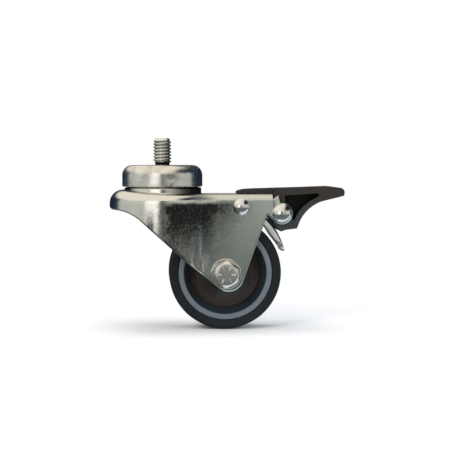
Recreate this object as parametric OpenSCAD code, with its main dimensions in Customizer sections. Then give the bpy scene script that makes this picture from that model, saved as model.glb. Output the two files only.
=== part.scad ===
// Swivel bed castor with a threaded stem, a 50 mm wheel and a toggle brake pedal.
// The origin is where the swivel axis meets the top face of the head cap, the seat
// that bears on the furniture. Z points up the stem and X towards the pedal.
// Heights below the seat are written as positive depths.

/* [Stem] */
// Diameter over the thread crests, five sixteenths of an inch
stem_d = 7.94; // [6:0.02:9]
// Length of the stem above the seat
stem_h = 11.8; // [8:0.1:30]
// Height of the chamfer at the stem's end
stem_chamfer = 1; // [0.4:0.1:1.5]
// Diameter of the shank that the fork turns round
shank_d = 12; // [11:0.1:13]
// Diameter of the peened head under the lower race
peen_d = 14; // [12:0.1:16]
// Height of the peened head
peen_h = 2; // [1:0.1:2.6]

/* [Head cap] */
// Outside diameter of the pressed cap
cap_d = 35.6; // [34:0.1:38]
// Height of the cap
cap_h = 9.6; // [8.6:0.1:9.8]
// Sheet thickness of the cap
cap_t = 1.6; // [1:0.1:1.8]
// Outside radius of the cap's shoulder
cap_round = 4.5; // [4.1:0.1:5.5]

/* [Ball races] */
// Diameter of the upper balls
ball_d = 4.6; // [4:0.1:5]
// Number of upper balls
ball_count = 17; // [6:1:17]
// Diameter of the lower balls
low_ball_d = 3.4; // [3:0.1:3.8]
// Number of lower balls
low_ball_count = 14; // [6:1:14]
// Sheet thickness of the lower race cup
cup_t = 1.4; // [1:0.1:2]

/* [Fork] */
// Sheet thickness of the fork
sheet = 2; // [1.6:0.1:2.2]
// Radius of the round drum about the swivel axis
drum_r = 23.4; // [22.8:0.1:25]
// Clear width between the two cheeks
cheek_gap = 23; // [22.6:0.1:25]
// Depth of the top plate's upper face below the seat
plate_depth = 12.8; // [12:0.1:13.4]
// How much the plate rises at the nose of the drum
nose_raise = 1.9; // [0:0.1:2]
// Outside bend radius at the nose
nose_bend = 5.9; // [4:0.1:6]
// Outside bend radius along the cheeks
side_bend = 3; // [2.6:0.1:3.6]
// Radius of the neck where the drum runs into a cheek
neck_r = 14; // [10:0.5:20]
// Rounding of the upper edge of the raised race boss
boss_round = 2; // [1.6:0.1:2.6]
// Depth of the skirt's lower edge below the seat
skirt_depth = 19.6; // [18.6:0.1:21]
// Radius where the skirt's edge turns down into the cheek's front edge
skirt_turn = 18; // [10:0.5:24]
// Slope of the cheek's front edge below the horizontal, in degrees
front_slope = 41.2; // [38:0.2:44]
// Lean of the cheek's rear edge from the vertical, in degrees
rear_lean = 20; // [17:0.5:22]
// Radius of the cheek's foot
foot_r = 6.9; // [6.4:0.1:8]
// Distance from the rear end of the bent top edge to the pedal rivet
strip_gap = 4.1; // [3.8:0.1:5]
// Distance from the shoe rivet to the pedal cut-out in the top plate
slot_lead = 5.8; // [5:0.1:7]
// Width of the pedal cut-out
slot_w = 18.8; // [18.4:0.1:19]
// Radius of the ear round the pedal rivet
ear_r = 4.7; // [4.6:0.1:5.2]

/* [Wheel] */
// Diameter over the tyre
wheel_d = 50; // [47:0.5:50.5]
// Width of the tyre
tyre_w = 19; // [17:0.5:19.6]
// Radius of the tyre's shoulders
tyre_round = 3; // [1.5:0.1:3.4]
// Radial thickness of the tyre outside the pale rim rings
tyre_wall = 4.3; // [3.5:0.1:5]
// Radial width of the pale rim rings
ring_w = 2.5; // [2:0.1:3.5]
// Length of the wheel's hub
hub_w = 21; // [20:0.1:21.4]
// Diameter of the wheel's hub
hub_d = 15; // [13:0.5:17]
// Horizontal distance from the swivel axis to the axle
axle_x = 27.5; // [26.5:0.1:28]
// Clear space between the tyre and the shoe's eye
tyre_room = 1.88; // [1.5:0.01:4]

/* [Axle] */
// Diameter of the axle bolt
bolt_d = 6.35; // [6:0.05:6.6]
// Width of the bolt head and the nut across their flats
hex_af = 11.1; // [10:0.1:11.6]
// Height of the bolt head
head_h = 4; // [3:0.1:5]
// Height of the lock nut
nut_h = 6; // [5:0.1:7]
// Diameter of the washers
washer_d = 13.4; // [12.8:0.1:14]
// Thickness of the washers
washer_t = 1; // [0.6:0.1:1.6]
// Outside diameter of the axle sleeve
sleeve_d = 9; // [8.4:0.1:10]

/* [Pedal] */
// Distance from the tread to the pedal rivet
pedal_room = 10.94; // [10.4:0.02:12]
// Direction from the axle to the pedal rivet, in degrees above the horizontal
pedal_angle = 46.8; // [45:0.1:48]
// Diameter of the pedal rivet's shank
pedal_pin_d = 5; // [4:0.1:5.6]
// Diameter of the pedal rivet's heads
pedal_dome_d = 8.7; // [8:0.1:9]
// Height of the pedal rivet's heads
pedal_dome_h = 2.4; // [1.6:0.1:3]
// Width of the pedal between the ears
pedal_w = 21.6; // [20:0.1:22]
// Width of the pedal's tail over the top plate
tail_w = 17.6; // [16:0.1:18]
// Reach of the pedal beyond its rivet
pedal_reach = 27.9; // [25:0.1:32]
// Thickness of the web between the pedal's two pockets
web_t = 3; // [2:0.1:5]

/* [Brake shoe] */
// Horizontal distance from the axle to the shoe rivet
shoe_lead = 6.7; // [6:0.1:8]
// Clear space between the shoe's eye and the top plate
eye_room = 0.42; // [0.3:0.01:1]
// Diameter of the shoe rivet's shank
shoe_pin_d = 4; // [3.4:0.1:4.2]
// Diameter of the shoe rivet's heads
shoe_dome_d = 7.3; // [6.6:0.1:8]
// Height of the shoe rivet's heads
shoe_dome_h = 2; // [1.4:0.1:2.6]
// Thickness of the spring steel shoe
shoe_t = 1; // [0.8:0.1:1.2]
// Width of the shoe
shoe_w = 21; // [18:0.1:22]
// How much larger the radius of the shoe's outer face is than the wheel's
shoe_slack = 9.2; // [8.8:0.1:9.6]
// Length of the shoe below the pedal's cam
shoe_tail = 9.05; // [7:0.05:11]

/* [Fits] */
// Radial clearance between a pin and the part that turns on it
run_gap = 0.08; // [0.04:0.01:0.12]
// Radial clearance between a fixed pin and its hole
hold_gap = 0.05; // [0.02:0.01:0.1]
// Clearance of the balls in their races
race_gap = 0.06; // [0.04:0.01:0.1]
// Clearance between the pedal's cam and the shoe at rest
cam_gap = 1.08; // [0.8:0.01:1.5]

/* [Hidden] */
$fn = 96;
eps = 0.01;
stem_r = stem_d / 2;
land_r = stem_r + 0.4;
tenon_r = stem_r + 0.8;
cap_r = cap_d / 2;
ball_r = ball_d / 2;
low_ball_r = low_ball_d / 2;
wheel_r = wheel_d / 2;
ring_d = wheel_d - 2 * tyre_wall;
ring_bore = ring_d - 2 * ring_w;
through = 4 * drum_r;
cheek_in = cheek_gap / 2;
cheek_out = cheek_in + sheet;

// The upper balls lie in the corner inside the cap's shoulder
cap_in_r = cap_r - cap_t;
corner_r = cap_round - cap_t;
ball_off = corner_r > ball_r ? (corner_r - ball_r - race_gap) * sqrt(0.5) : 0;
ball_pitch = cap_in_r - max(corner_r, ball_r) + ball_off;
ball_z = -cap_t - max(corner_r, ball_r) + ball_off;
// The fork's boss carries them on its flat top
boss_r = ball_pitch + 2;
boss_z = ball_z - ball_r - race_gap;
// The lower balls run under the boss, inside the lower race cup
low_pitch = boss_r - sheet - low_ball_r - cup_t - 1.4;
low_ball_z = boss_z - sheet - race_gap - low_ball_r;
cup_z = low_ball_z - low_ball_r - race_gap;
cup_r = low_pitch + low_ball_r + race_gap + cup_t;
cup_rim = 3;
fork_bore_r = shank_d / 2 + 0.4;

// Plan of the drum and the cheeks
neck_x = sqrt(pow(drum_r + neck_r, 2) - pow(cheek_out + neck_r, 2));
neck_a = atan2(cheek_out + neck_r, neck_x);
neck_flat_to = axle_x - washer_d / 2;
neck_flat_from = neck_flat_to - 6.8;
drum_steps = 22;
neck_steps = 7;

// The wheel hangs under the shoe rivet, which hangs under the top plate, and the
// pedal rivet lies behind them
shoe_eye_in = shoe_pin_d / 2 + run_gap;
shoe_eye_out = shoe_eye_in + shoe_t;
shoe_x = axle_x + shoe_lead;
shoe_depth = plate_depth + sheet + eye_room + shoe_eye_out;
axle_depth = shoe_depth + sqrt(pow(wheel_r + tyre_room + shoe_eye_out, 2) - shoe_lead * shoe_lead);
axle_z = -axle_depth;
pedal_x = axle_x + (wheel_r + pedal_room) * cos(pedal_angle);
pedal_depth = axle_depth - (wheel_r + pedal_room) * sin(pedal_angle);
strip_end = pedal_x - strip_gap;
slot_start = shoe_x + slot_lead;
shell_end = strip_end + 24;
shell_low = axle_z - 2 * foot_r;
neck_flat_z = axle_z + washer_d / 2 + 1.3;
neck_full_z = neck_flat_z + 12.5;

// Where the side edges of the cheek run
foot_x = axle_x + 1.1;
foot_z = axle_z - 1.1;
front_dir = [cos(front_slope), -sin(front_slope)];
front_foot = [foot_x, foot_z] + foot_r * [-sin(front_slope), -cos(front_slope)];
front_top_s = (front_foot[1] + skirt_depth) / sin(front_slope);
front_top = front_foot + front_top_s * front_dir;
turn_len = skirt_turn * tan(front_slope / 2);
turn_a = [front_top[0] - turn_len, -skirt_depth];
turn_b = front_top + turn_len * front_dir;
skirt_near = min(3.4 - drum_r, turn_a[0] - 0.5);
skirt_far = skirt_near - 6;
rear_foot = [foot_x, foot_z] + foot_r * [cos(rear_lean), -sin(rear_lean)];
pedal_at = [pedal_x, -pedal_depth];
shoe_at = [shoe_x, -shoe_depth];
ear_low = -pedal_depth - 0.5;
ear_corner = [rear_foot[0] + (ear_low - rear_foot[1]) * tan(rear_lean), ear_low];
ear_reach = norm(pedal_at - ear_corner);
ear_dir = atan2(pedal_at[1] - ear_low, pedal_at[0] - ear_corner[0]) - asin(ear_r / ear_reach);
ear_touch = ear_corner + sqrt(ear_reach * ear_reach - ear_r * ear_r) * [cos(ear_dir), sin(ear_dir)];
notch_depth = plate_depth + 2.2;

// Wheel section, as radii and half widths
seat_r = ring_d / 2 - 0.7;
ring_in = tyre_w / 2 - 1.7;
ring_out = tyre_w / 2 - 0.2;
web_half = 4.4;
sleeve_r = sleeve_d / 2;
washer_out = cheek_out + washer_t;

// Side view of the pedal
tail_x = shoe_x - 1.2;
pedal_top = 10.6;
tail_floor = plate_depth - 0.3;
under_c = [pedal_x + 23.5, -pedal_depth - 10.7];
under_r = 17;
flange_t = 2.4;
tip_x = pedal_x + pedal_reach;
cam_low = pedal_at + [-0.7, -7.7];
cam_high = pedal_at + [-5.8, -0.8];
heel = pedal_at + [6.9, -6.6];

// The shoe is a strip bent round an arc, with an eye that turns on its rivet. The arc
// runs from the eye past the pedal's cam
eye_weld = 0.05;
shoe_curve = wheel_r + shoe_slack;
shoe_c = meet(shoe_at, shoe_curve - shoe_eye_out - eye_weld, cam_low, shoe_curve + cam_gap);
shoe_lean = bearing(shoe_c, shoe_at);
shoe_tip_a = bearing(shoe_c, cam_low) - shoe_tail / shoe_curve * 180 / PI;

// Direction from one point to another, in degrees
function bearing(p, q) = atan2(q[1] - p[1], q[0] - p[0]);
// Where two circles cross, on the right of the way from p to q
function meet(p, rp, q, rq) =
    let (d = norm(q - p), a = (rp * rp - rq * rq + d * d) / (2 * d), u = (q - p) / d)
    p + a * u + sqrt(rp * rp - a * a) * [u[1], -u[0]];
// A point at radius r and angle a from a centre
function polar(c, r, a) = c + r * [cos(a), sin(a)];
// Soft step from 0 to 1
function ease(v) = let (u = min(max(v, 0), 1)) u * u * (3 - 2 * u);

// Plan columns of one side, from the nose back: place, outward normal and how much
// of the nose's form the column has
drum_cols = [for (i = [0:drum_steps]) let (a = 180 - i * (180 - neck_a) / drum_steps)
    [polar([0, 0], drum_r, a), [cos(a), sin(a)], ease((a - 60) / 115)]];
neck_cols = [for (i = [1:neck_steps]) let (a = 180 + neck_a + i * (90 - neck_a) / neck_steps)
    [polar([neck_x, cheek_out + neck_r], neck_r, a), -[cos(a), sin(a)], 0]];
end_col = [[[shell_end, cheek_out], [0, 1], 0]];
half_cols = concat(drum_cols, neck_cols, end_col);
half_n = len(half_cols);
cols = concat(half_cols, [for (i = [half_n - 1:-1:1]) let (c = half_cols[i])
    [[c[0][0], -c[0][1]], [c[1][0], -c[1][1]], c[2]]]);

// One column of the pressed sheet's skin, from the bore out and down. in is 0 on the
// outer skin and the sheet thickness on the inner one
boss_steps = 3;
bend_steps = 5;
function skin(c, in) =
    let (z_plate = -plate_depth + nose_raise * c[2] - in,
         bend = side_bend + (nose_bend - side_bend) * c[2] - in,
         edge = c[0] - in * c[1] - (c[0][0] > shell_end - 1 ? [in, 0] : [0, 0]),
         start = edge - bend * c[1],
         a = atan2(start[1], start[0]),
         round_r = max(boss_round - in, 0.4),
         wall = boss_r - in,
         flat_y = sign(c[0][1]) * (cheek_out - in),
         flatness = ease((c[0][0] - neck_flat_from) / (axle_x - washer_d / 2 - neck_flat_from)),
         low = [edge[0], edge[1] + flatness * (flat_y - edge[1])])
    concat(
        [[each polar([0, 0], fork_bore_r - 1, a), boss_z - in]],
        [for (i = [0:boss_steps]) let (b = 90 * i / boss_steps)
            [each polar([0, 0], wall - round_r * (1 - sin(b)), a), boss_z - in - round_r * (1 - cos(b))]],
        [[each polar([0, 0], wall, a), z_plate + 0.6], [each polar([0, 0], wall + 0.6, a), z_plate]],
        [for (i = [0:bend_steps]) let (b = 90 * i / bend_steps)
            [each (start + bend * sin(b) * c[1]), z_plate - bend * (1 - cos(b))]],
        [[each edge, neck_full_z], [each (edge + ease(0.33) * (low - edge)), neck_full_z + 0.33 * (neck_flat_z - neck_full_z)],
         [each (edge + ease(0.67) * (low - edge)), neck_full_z + 0.67 * (neck_flat_z - neck_full_z)],
         [each low, neck_flat_z], [each low, shell_low]]);
shell_skins = [for (c = cols) concat(skin(c, 0), [for (i = [len(skin(c, sheet)) - 1:-1:0]) skin(c, sheet)[i]])];
ring_n = len(shell_skins[0]);

// The pressed sheet before its edges are trimmed
module pressed_shell() {
    n = len(cols);
    polyhedron(
        points = [for (s = shell_skins) each s],
        faces = [for (i = [0:n - 1], j = [0:ring_n - 1])
            let (p = i * ring_n, q = ((i + 1) % n) * ring_n, k = (j + 1) % ring_n)
            each [[p + j, q + k, q + j], [p + j, p + k, q + k]]],
        convexity = 8);
}

// Extrudes an outline drawn in X and Z over a width centred on the middle plane
module across(w) {
    rotate([90, 0, 0]) linear_extrude(w, center = true) children();
}

// A cylinder along Y at a place in the side view
module cross_pin(at, r, w) {
    translate([at[0], 0, at[1]]) rotate([90, 0, 0]) cylinder(h = w, r = r, center = true);
}

// Side outline of the bent sheet, up to the end of its bent top edge
module cheek_outline() {
    difference() {
        union() {
            polygon([[skirt_far, 5], [strip_end, 5], [strip_end, -notch_depth], ear_corner, rear_foot,
                     front_foot, turn_b, turn_a, [skirt_near, -skirt_depth], [skirt_far, -skirt_depth + 3]]);
            translate([foot_x, foot_z]) circle(foot_r);
        }
        translate(turn_a - [0, skirt_turn]) circle(skirt_turn);
    }
}

// Side outline of the flat ear that carries the pedal rivet
module ear_outline() {
    polygon([[slot_start, -plate_depth - side_bend - 1], ear_corner, ear_touch, pedal_at,
             [pedal_x + ear_r * sin(-8), -pedal_depth + ear_r * cos(8)],
             [strip_end + 2.5, -notch_depth + 1.8], [strip_end, -notch_depth],
             [slot_start, -plate_depth - side_bend]]);
    translate(pedal_at) circle(ear_r);
}

module fork() color([0.62, 0.64, 0.6]) {
    difference() {
        union() {
            intersection() {
                pressed_shell();
                across(through) cheek_outline();
            }
            for (s = [-1, 1])
                translate([0, s * (cheek_in + sheet / 2), 0]) across(sheet) ear_outline();
        }
        translate([0, 0, boss_z - 5]) cylinder(h = 8, r = fork_bore_r);
        translate([slot_start, -slot_w / 2, -plate_depth - 2.6]) cube([20, slot_w, 8]);
        cross_pin([axle_x, axle_z], bolt_d / 2 + hold_gap, through);
        cross_pin(pedal_at, pedal_pin_d / 2 + hold_gap, through);
        cross_pin(shoe_at, shoe_pin_d / 2 + hold_gap, through);
    }
}

// Turns a section drawn as radius and height along the axle about the axle
module about_axle() {
    translate([axle_x, 0, axle_z]) rotate([90, 0, 0]) rotate_extrude() children();
}

// Half section of a drum with a rounded upper edge
module shoulder_section(r, top, bottom, round_r) {
    translate([0, bottom]) square([r - round_r, top - bottom]);
    translate([0, bottom]) square([r, top - bottom - round_r]);
    translate([r - round_r, top - round_r]) circle(round_r);
}

// A ring of equal balls
module ball_ring(count, pitch, z, r) {
    for (i = [0:count - 1])
        rotate([0, 0, i * 360 / count]) translate([pitch, 0, z]) sphere(r);
}

module threaded_stem() color([0.7, 0.7, 0.66]) {
    floor_z = cup_z - cup_t;
    rotate_extrude() polygon([
        [0, stem_h], [stem_r - 0.8 * stem_chamfer, stem_h], [stem_r, stem_h - stem_chamfer],
        [stem_r, 0], [land_r, 0], [land_r, -cap_t], [shank_d / 2, -cap_t], [shank_d / 2, cup_z], [tenon_r, cup_z],
        [tenon_r, floor_z], [peen_d / 2, floor_z], [peen_d / 2, floor_z - 0.5 * peen_h],
        [peen_d / 2 - 0.7 * peen_h, floor_z - peen_h], [0, floor_z - peen_h]]);
}

module head_cap() color([0.72, 0.72, 0.68]) {
    rotate_extrude() difference() {
        intersection() {
            shoulder_section(cap_r, 0, -cap_h, cap_round);
            translate([0, -cap_h]) square([cap_r, cap_h]);
        }
        shoulder_section(cap_in_r, -cap_t, -cap_h - 1, corner_r);
        translate([-1, -cap_h - 1]) square([land_r + hold_gap + 1, cap_h + 2]);
    }
}

module upper_balls() color([0.8, 0.8, 0.8]) {
    ball_ring(ball_count, ball_pitch, ball_z, ball_r);
}

module lower_balls() color([0.8, 0.8, 0.8]) {
    ball_ring(low_ball_count, low_pitch, low_ball_z, low_ball_r);
}

module lower_race() color([0.6, 0.6, 0.58]) {
    rotate_extrude() difference() {
        translate([0, cup_z - cup_t]) square([cup_r, cup_t + cup_rim]);
        translate([-1, cup_z]) square([cup_r - cup_t + 1, cup_rim + 1]);
        translate([-1, cup_z - cup_t - 1]) square([tenon_r + hold_gap + 1, cup_t + 2]);
    }
}

// A hexagon prism whose corners are turned down by a cone at its upper end
module hex_body(af, h) {
    intersection() {
        rotate([0, 0, 86]) cylinder(h = h, r = af / sqrt(3), $fn = 6);
        rotate_extrude() polygon([[0, 0], [0.62 * af, 0], [0.62 * af, h - 0.18 * af],
                                  [0.42 * af, h], [0, h]]);
    }
}

module axle_bolt() color([0.72, 0.72, 0.68]) {
    shank_len = 2 * washer_out + nut_h + 1.2;
    translate([axle_x, 0, axle_z]) rotate([90, 0, 0]) {
        translate([0, 0, washer_out]) hex_body(hex_af, head_h);
        translate([0, 0, washer_out - shank_len]) cylinder(h = shank_len, r = bolt_d / 2);
    }
}

module axle_washers() color([0.75, 0.75, 0.72]) {
    about_axle() for (s = [-1, 1])
        translate([bolt_d / 2 + hold_gap, s > 0 ? cheek_out : -washer_out])
            square([washer_d / 2 - bolt_d / 2 - hold_gap, washer_t]);
}

module axle_nut() color([0.7, 0.7, 0.66]) {
    collar_h = 0.28 * nut_h;
    translate([axle_x, 0, axle_z]) rotate([-90, 0, 0]) translate([0, 0, washer_out])
        difference() {
            union() {
                hex_body(hex_af, nut_h - collar_h);
                cylinder(h = nut_h, r = 0.43 * hex_af);
            }
            translate([0, 0, -1]) cylinder(h = nut_h + 2, r = bolt_d / 2 + hold_gap);
            translate([0, 0, nut_h - collar_h]) cylinder(h = 0.7 * collar_h, r = 0.37 * hex_af);
        }
}

module nut_insert() color([0.2, 0.35, 0.7]) {
    collar_h = 0.28 * nut_h;
    translate([axle_x, 0, axle_z]) rotate([-90, 0, 0])
        translate([0, 0, washer_out + nut_h - collar_h]) difference() {
            cylinder(h = 0.7 * collar_h, r = 0.37 * hex_af);
            translate([0, 0, -1]) cylinder(h = nut_h, r = bolt_d / 2 + hold_gap);
        }
}

module axle_sleeve() color([0.6, 0.6, 0.6]) {
    about_axle() translate([bolt_d / 2 + hold_gap, -cheek_in])
        square([sleeve_r - bolt_d / 2 - hold_gap, cheek_gap]);
}

module thrust_washers() color([0.85, 0.84, 0.8]) {
    inner = hub_w / 2 + run_gap;
    about_axle() for (s = [-1, 1])
        translate([sleeve_r + hold_gap, s > 0 ? inner : -cheek_in])
            square([hub_d / 2 - sleeve_r - hold_gap - 0.4, cheek_in - inner]);
}

// Half of the core's section, on the near side of the middle plane
module core_section() {
    bore_r = sleeve_r + run_gap;
    hub_r = hub_d / 2;
    dish_out = ring_bore / 2 - 2.3;
    dish_r = min(3.4, (dish_out - hub_r - 0.6) / 2);
    difference() {
        polygon([[bore_r, 0], [bore_r, hub_w / 2], [hub_r - 0.5, hub_w / 2], [hub_r, hub_w / 2 - 0.5],
                 [hub_r + 0.5, web_half], [dish_out, web_half], [ring_bore / 2, ring_in],
                 [seat_r, ring_in], [seat_r, 0]]);
        translate([dish_out - dish_r, web_half + dish_r - 0.9]) circle(dish_r);
    }
}

module wheel_core() color([0.22, 0.16, 0.13]) {
    about_axle() {
        core_section();
        mirror([0, 1]) core_section();
    }
}

module rim_rings() color([0.55, 0.56, 0.6]) {
    edge = 0.5;
    about_axle() for (s = [0, 1]) mirror([0, s])
        polygon([[ring_bore / 2, ring_in], [ring_bore / 2, ring_out - edge],
                 [ring_bore / 2 + edge, ring_out], [ring_d / 2 - edge, ring_out],
                 [ring_d / 2 - hold_gap, ring_out - edge], [ring_d / 2 - hold_gap, ring_in]]);
}

// Half of the tyre's section, on the near side of the middle plane
module tyre_section() {
    half = tyre_w / 2;
    lip = 0.4;
    difference() {
        polygon([[seat_r + hold_gap, 0], [seat_r + hold_gap, ring_in - hold_gap],
                 [ring_d / 2, ring_in - hold_gap], [ring_d / 2, half - lip],
                 [ring_d / 2 + lip, half], [wheel_r, half], [wheel_r, 0]]);
        translate([wheel_r - tyre_round, half - tyre_round]) difference() {
            square(tyre_round + 1);
            circle(tyre_round);
        }
    }
}

module tyre() color([0.1, 0.11, 0.14]) {
    about_axle() {
        tyre_section();
        mirror([0, 1]) tyre_section();
    }
}

// Side outline of the pedal
module pedal_outline() {
    end_r = 1.9;
    difference() {
        union() {
            polygon([[tail_x, -tail_floor], [tail_x + 0.6, -pedal_top - 1], [tail_x + 3, -pedal_top - 0.3],
                     [tail_x + 7, -pedal_top], [pedal_x + 8, -pedal_top + 0.5], [tip_x - 5.6, -pedal_top + 1.2],
                     [tip_x - 2.4, -pedal_top + 0.8], [tip_x - end_r, -pedal_top - 1.2 + end_r],
                     [tip_x, -pedal_top - 1.2], [tip_x - 0.1, -pedal_top - 2.6],
                     under_c + under_r * [-sin(16), cos(16)], heel + [0.4, 1.2], heel, heel + [-4.9, -0.6],
                     cam_low + [0.6, -0.2], cam_low, cam_high, [slot_start + 1.2, -plate_depth - 2.4],
                     [slot_start + 1.2, -tail_floor]]);
            translate([tip_x - end_r, -pedal_top - 1.2]) circle(end_r);
        }
        translate(under_c) circle(under_r);
    }
}

// The pocket in each side of the pedal, between its top and lower flanges
module pocket_outline() {
    difference() {
        polygon([pedal_at + [0.8, 7.9], pedal_at + [17.2, 8.9], pedal_at + [17.2, 6.8],
                 pedal_at + [5.4, -3.4], pedal_at + [3.6, -3.4]]);
        translate(under_c) circle(under_r + flange_t);
        translate(pedal_at) circle(ear_r + 0.2);
    }
}

module brake_pedal() color([0.2, 0.18, 0.17]) {
    corner = 4;
    half = pedal_w / 2;
    wide_depth = plate_depth + side_bend + 2.6;
    pocket_depth = half - web_t / 2;
    difference() {
        intersection() {
            union() {
                across(tail_w) pedal_outline();
                across(pedal_w) intersection() {
                    pedal_outline();
                    polygon([[strip_end + 0.5, 0], [tip_x + 5, 0], [tip_x + 5, -40], [cam_high[0] - 3, -40],
                             [cam_high[0] - 3, -wide_depth], [strip_end + 0.5, -wide_depth]]);
                }
            }
            translate([0, 0, -40]) linear_extrude(40) union() {
                translate([0, -half]) square([tip_x - corner, pedal_w]);
                translate([0, corner - half]) square([tip_x + 1, pedal_w - 2 * corner]);
                for (s = [-1, 1]) translate([tip_x - corner, s * (half - corner)]) circle(corner);
            }
        }
        cross_pin(pedal_at, pedal_pin_d / 2 + run_gap, through);
        for (s = [-1, 1])
            translate([0, s * (half - pocket_depth / 2 + eps), 0]) across(pocket_depth + 2 * eps)
                pocket_outline();
    }
}

// A rivet across both cheeks with a domed head at each end
module dome_rivet(at, pin_r, dome_r, dome_h) {
    ball = (dome_r * dome_r + dome_h * dome_h) / (2 * dome_h);
    translate([at[0], 0, at[1]]) rotate([90, 0, 0]) {
        cylinder(h = 2 * cheek_out, r = pin_r, center = true);
        for (s = [0, 1]) mirror([0, 0, s]) rotate_extrude() intersection() {
            translate([0, cheek_out + dome_h - ball]) circle(ball);
            translate([0, cheek_out]) square([dome_r, dome_h + 1]);
        }
    }
}

module pedal_rivet() color([0.8, 0.8, 0.8]) {
    dome_rivet(pedal_at, pedal_pin_d / 2, pedal_dome_d / 2, pedal_dome_h);
}

module shoe_rivet() color([0.8, 0.8, 0.8]) {
    dome_rivet(shoe_at, shoe_pin_d / 2, shoe_dome_d / 2, shoe_dome_h);
}

module brake_shoe() color([0.85, 0.85, 0.85]) {
    far = 2 * shoe_curve;
    across(shoe_w) {
        difference() {
            intersection() {
                translate(shoe_c) circle(shoe_curve);
                translate(shoe_c) polygon([[0, 0], far * [cos(shoe_tip_a), sin(shoe_tip_a)],
                                           far * [cos(shoe_lean), sin(shoe_lean)]]);
            }
            translate(shoe_c) circle(shoe_curve - shoe_t);
        }
        difference() {
            translate(shoe_at) circle(shoe_eye_out);
            translate(shoe_at) circle(shoe_eye_in);
        }
    }
}

threaded_stem();
head_cap();
upper_balls();
lower_balls();
lower_race();
fork();
axle_bolt();
axle_washers();
axle_nut();
nut_insert();
axle_sleeve();
thrust_washers();
wheel_core();
rim_rings();
tyre();
brake_pedal();
pedal_rivet();
shoe_rivet();
brake_shoe();
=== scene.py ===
import math

import bmesh
import bpy
from mathutils import Matrix, Vector


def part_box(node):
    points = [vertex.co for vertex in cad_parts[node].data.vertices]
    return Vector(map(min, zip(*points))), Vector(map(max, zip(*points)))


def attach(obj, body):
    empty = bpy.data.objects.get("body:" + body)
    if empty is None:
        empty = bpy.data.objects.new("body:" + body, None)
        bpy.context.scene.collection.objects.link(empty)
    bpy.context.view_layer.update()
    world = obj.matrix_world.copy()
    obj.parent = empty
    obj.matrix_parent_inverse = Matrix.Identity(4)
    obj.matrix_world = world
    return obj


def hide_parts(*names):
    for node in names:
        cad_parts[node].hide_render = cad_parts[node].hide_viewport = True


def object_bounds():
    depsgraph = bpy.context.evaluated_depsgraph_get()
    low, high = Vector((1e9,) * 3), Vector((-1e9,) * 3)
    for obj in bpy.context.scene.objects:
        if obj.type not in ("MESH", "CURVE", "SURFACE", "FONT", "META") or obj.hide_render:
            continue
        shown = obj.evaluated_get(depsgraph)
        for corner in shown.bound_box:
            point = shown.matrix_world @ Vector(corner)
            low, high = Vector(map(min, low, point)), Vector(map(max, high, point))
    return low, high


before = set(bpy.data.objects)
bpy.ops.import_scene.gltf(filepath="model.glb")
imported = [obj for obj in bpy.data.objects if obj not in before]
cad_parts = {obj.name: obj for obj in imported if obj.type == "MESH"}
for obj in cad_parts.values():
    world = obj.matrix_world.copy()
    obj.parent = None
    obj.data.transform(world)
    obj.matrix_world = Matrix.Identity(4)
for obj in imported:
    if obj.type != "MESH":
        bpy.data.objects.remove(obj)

bl_info = {
    "name": "Bed castor with toggle brake",
    "version": (1, 0, 0),
    "blender": (4, 5, 0),
    "location": "View3D > Sidebar > Castor",
    "description": "Builds the finished look of a swivel bed castor round its packed frame",
    "category": "Object",
}

# All lengths below are in millimetres unless a name says otherwise
MM = 0.001
CAD_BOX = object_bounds()


def low(node):
    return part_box(node)[0] / MM


def high(node):
    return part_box(node)[1] / MM


def middle(node):
    return (low(node) + high(node)) / 2


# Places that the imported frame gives
AXLE = middle("tyre")
WHEEL_R = (high("tyre").x - low("tyre").x) / 2 - 0.3
PEDAL_PIN = middle("pedal_rivet")
SHOE_PIN = middle("shoe_rivet")
BOSS_TOP = low("upper_balls").z - 0.06
CHEEK_OUT = 13.5
SHEET = 2.0
CHEEK_IN = CHEEK_OUT - SHEET


# ---- user's sizes and colours


class CastorSizes(bpy.types.PropertyGroup):
    thread_pitch: bpy.props.FloatProperty(
        name="Thread pitch", description="Pitch of the stem's thread, in millimetres",
        default=1.411, min=0.8, max=2.0)
    thread_depth: bpy.props.FloatProperty(
        name="Thread depth", description="Depth of the stem's thread, in millimetres",
        default=0.78, min=0.3, max=1.0)
    edge_round: bpy.props.FloatProperty(
        name="Sheet edge", description="Rounding of the pressed sheet's edges, in millimetres",
        default=0.6, min=0.1, max=0.8)
    pedal_round: bpy.props.FloatProperty(
        name="Pedal edge", description="Rounding of the moulded pedal's edges, in millimetres",
        default=0.55, min=0.1, max=1.0)
    bolt_marks: bpy.props.IntProperty(
        name="Bolt marks", description="Number of plain radial dashes on the bolt's head",
        default=6, min=0, max=8)


class CastorColours(bpy.types.PropertyGroup):
    zinc: bpy.props.FloatVectorProperty(
        name="Zinc", description="Bright zinc plating", subtype="COLOR",
        default=(0.80, 0.80, 0.76), min=0, max=1)
    stain: bpy.props.FloatVectorProperty(
        name="Stain", description="Dark tarnish on the plating", subtype="COLOR",
        default=(0.014, 0.013, 0.016), min=0, max=1)
    polished: bpy.props.FloatVectorProperty(
        name="Polished steel", description="Rivet heads and brake shoe", subtype="COLOR",
        default=(0.86, 0.86, 0.86), min=0, max=1)
    rubber: bpy.props.FloatVectorProperty(
        name="Rubber", description="Tyre", subtype="COLOR",
        default=(0.0045, 0.0085, 0.0125), min=0, max=1)
    ring: bpy.props.FloatVectorProperty(
        name="Rim ring", description="Pale rings of the wheel", subtype="COLOR",
        default=(0.118, 0.138, 0.156), min=0, max=1)
    core: bpy.props.FloatVectorProperty(
        name="Wheel core", description="Dark moulded wheel core", subtype="COLOR",
        default=(0.024, 0.017, 0.014), min=0, max=1)
    pedal: bpy.props.FloatVectorProperty(
        name="Pedal", description="Moulded brake pedal", subtype="COLOR",
        default=(0.026, 0.021, 0.018), min=0, max=1)


# ---- material building


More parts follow.
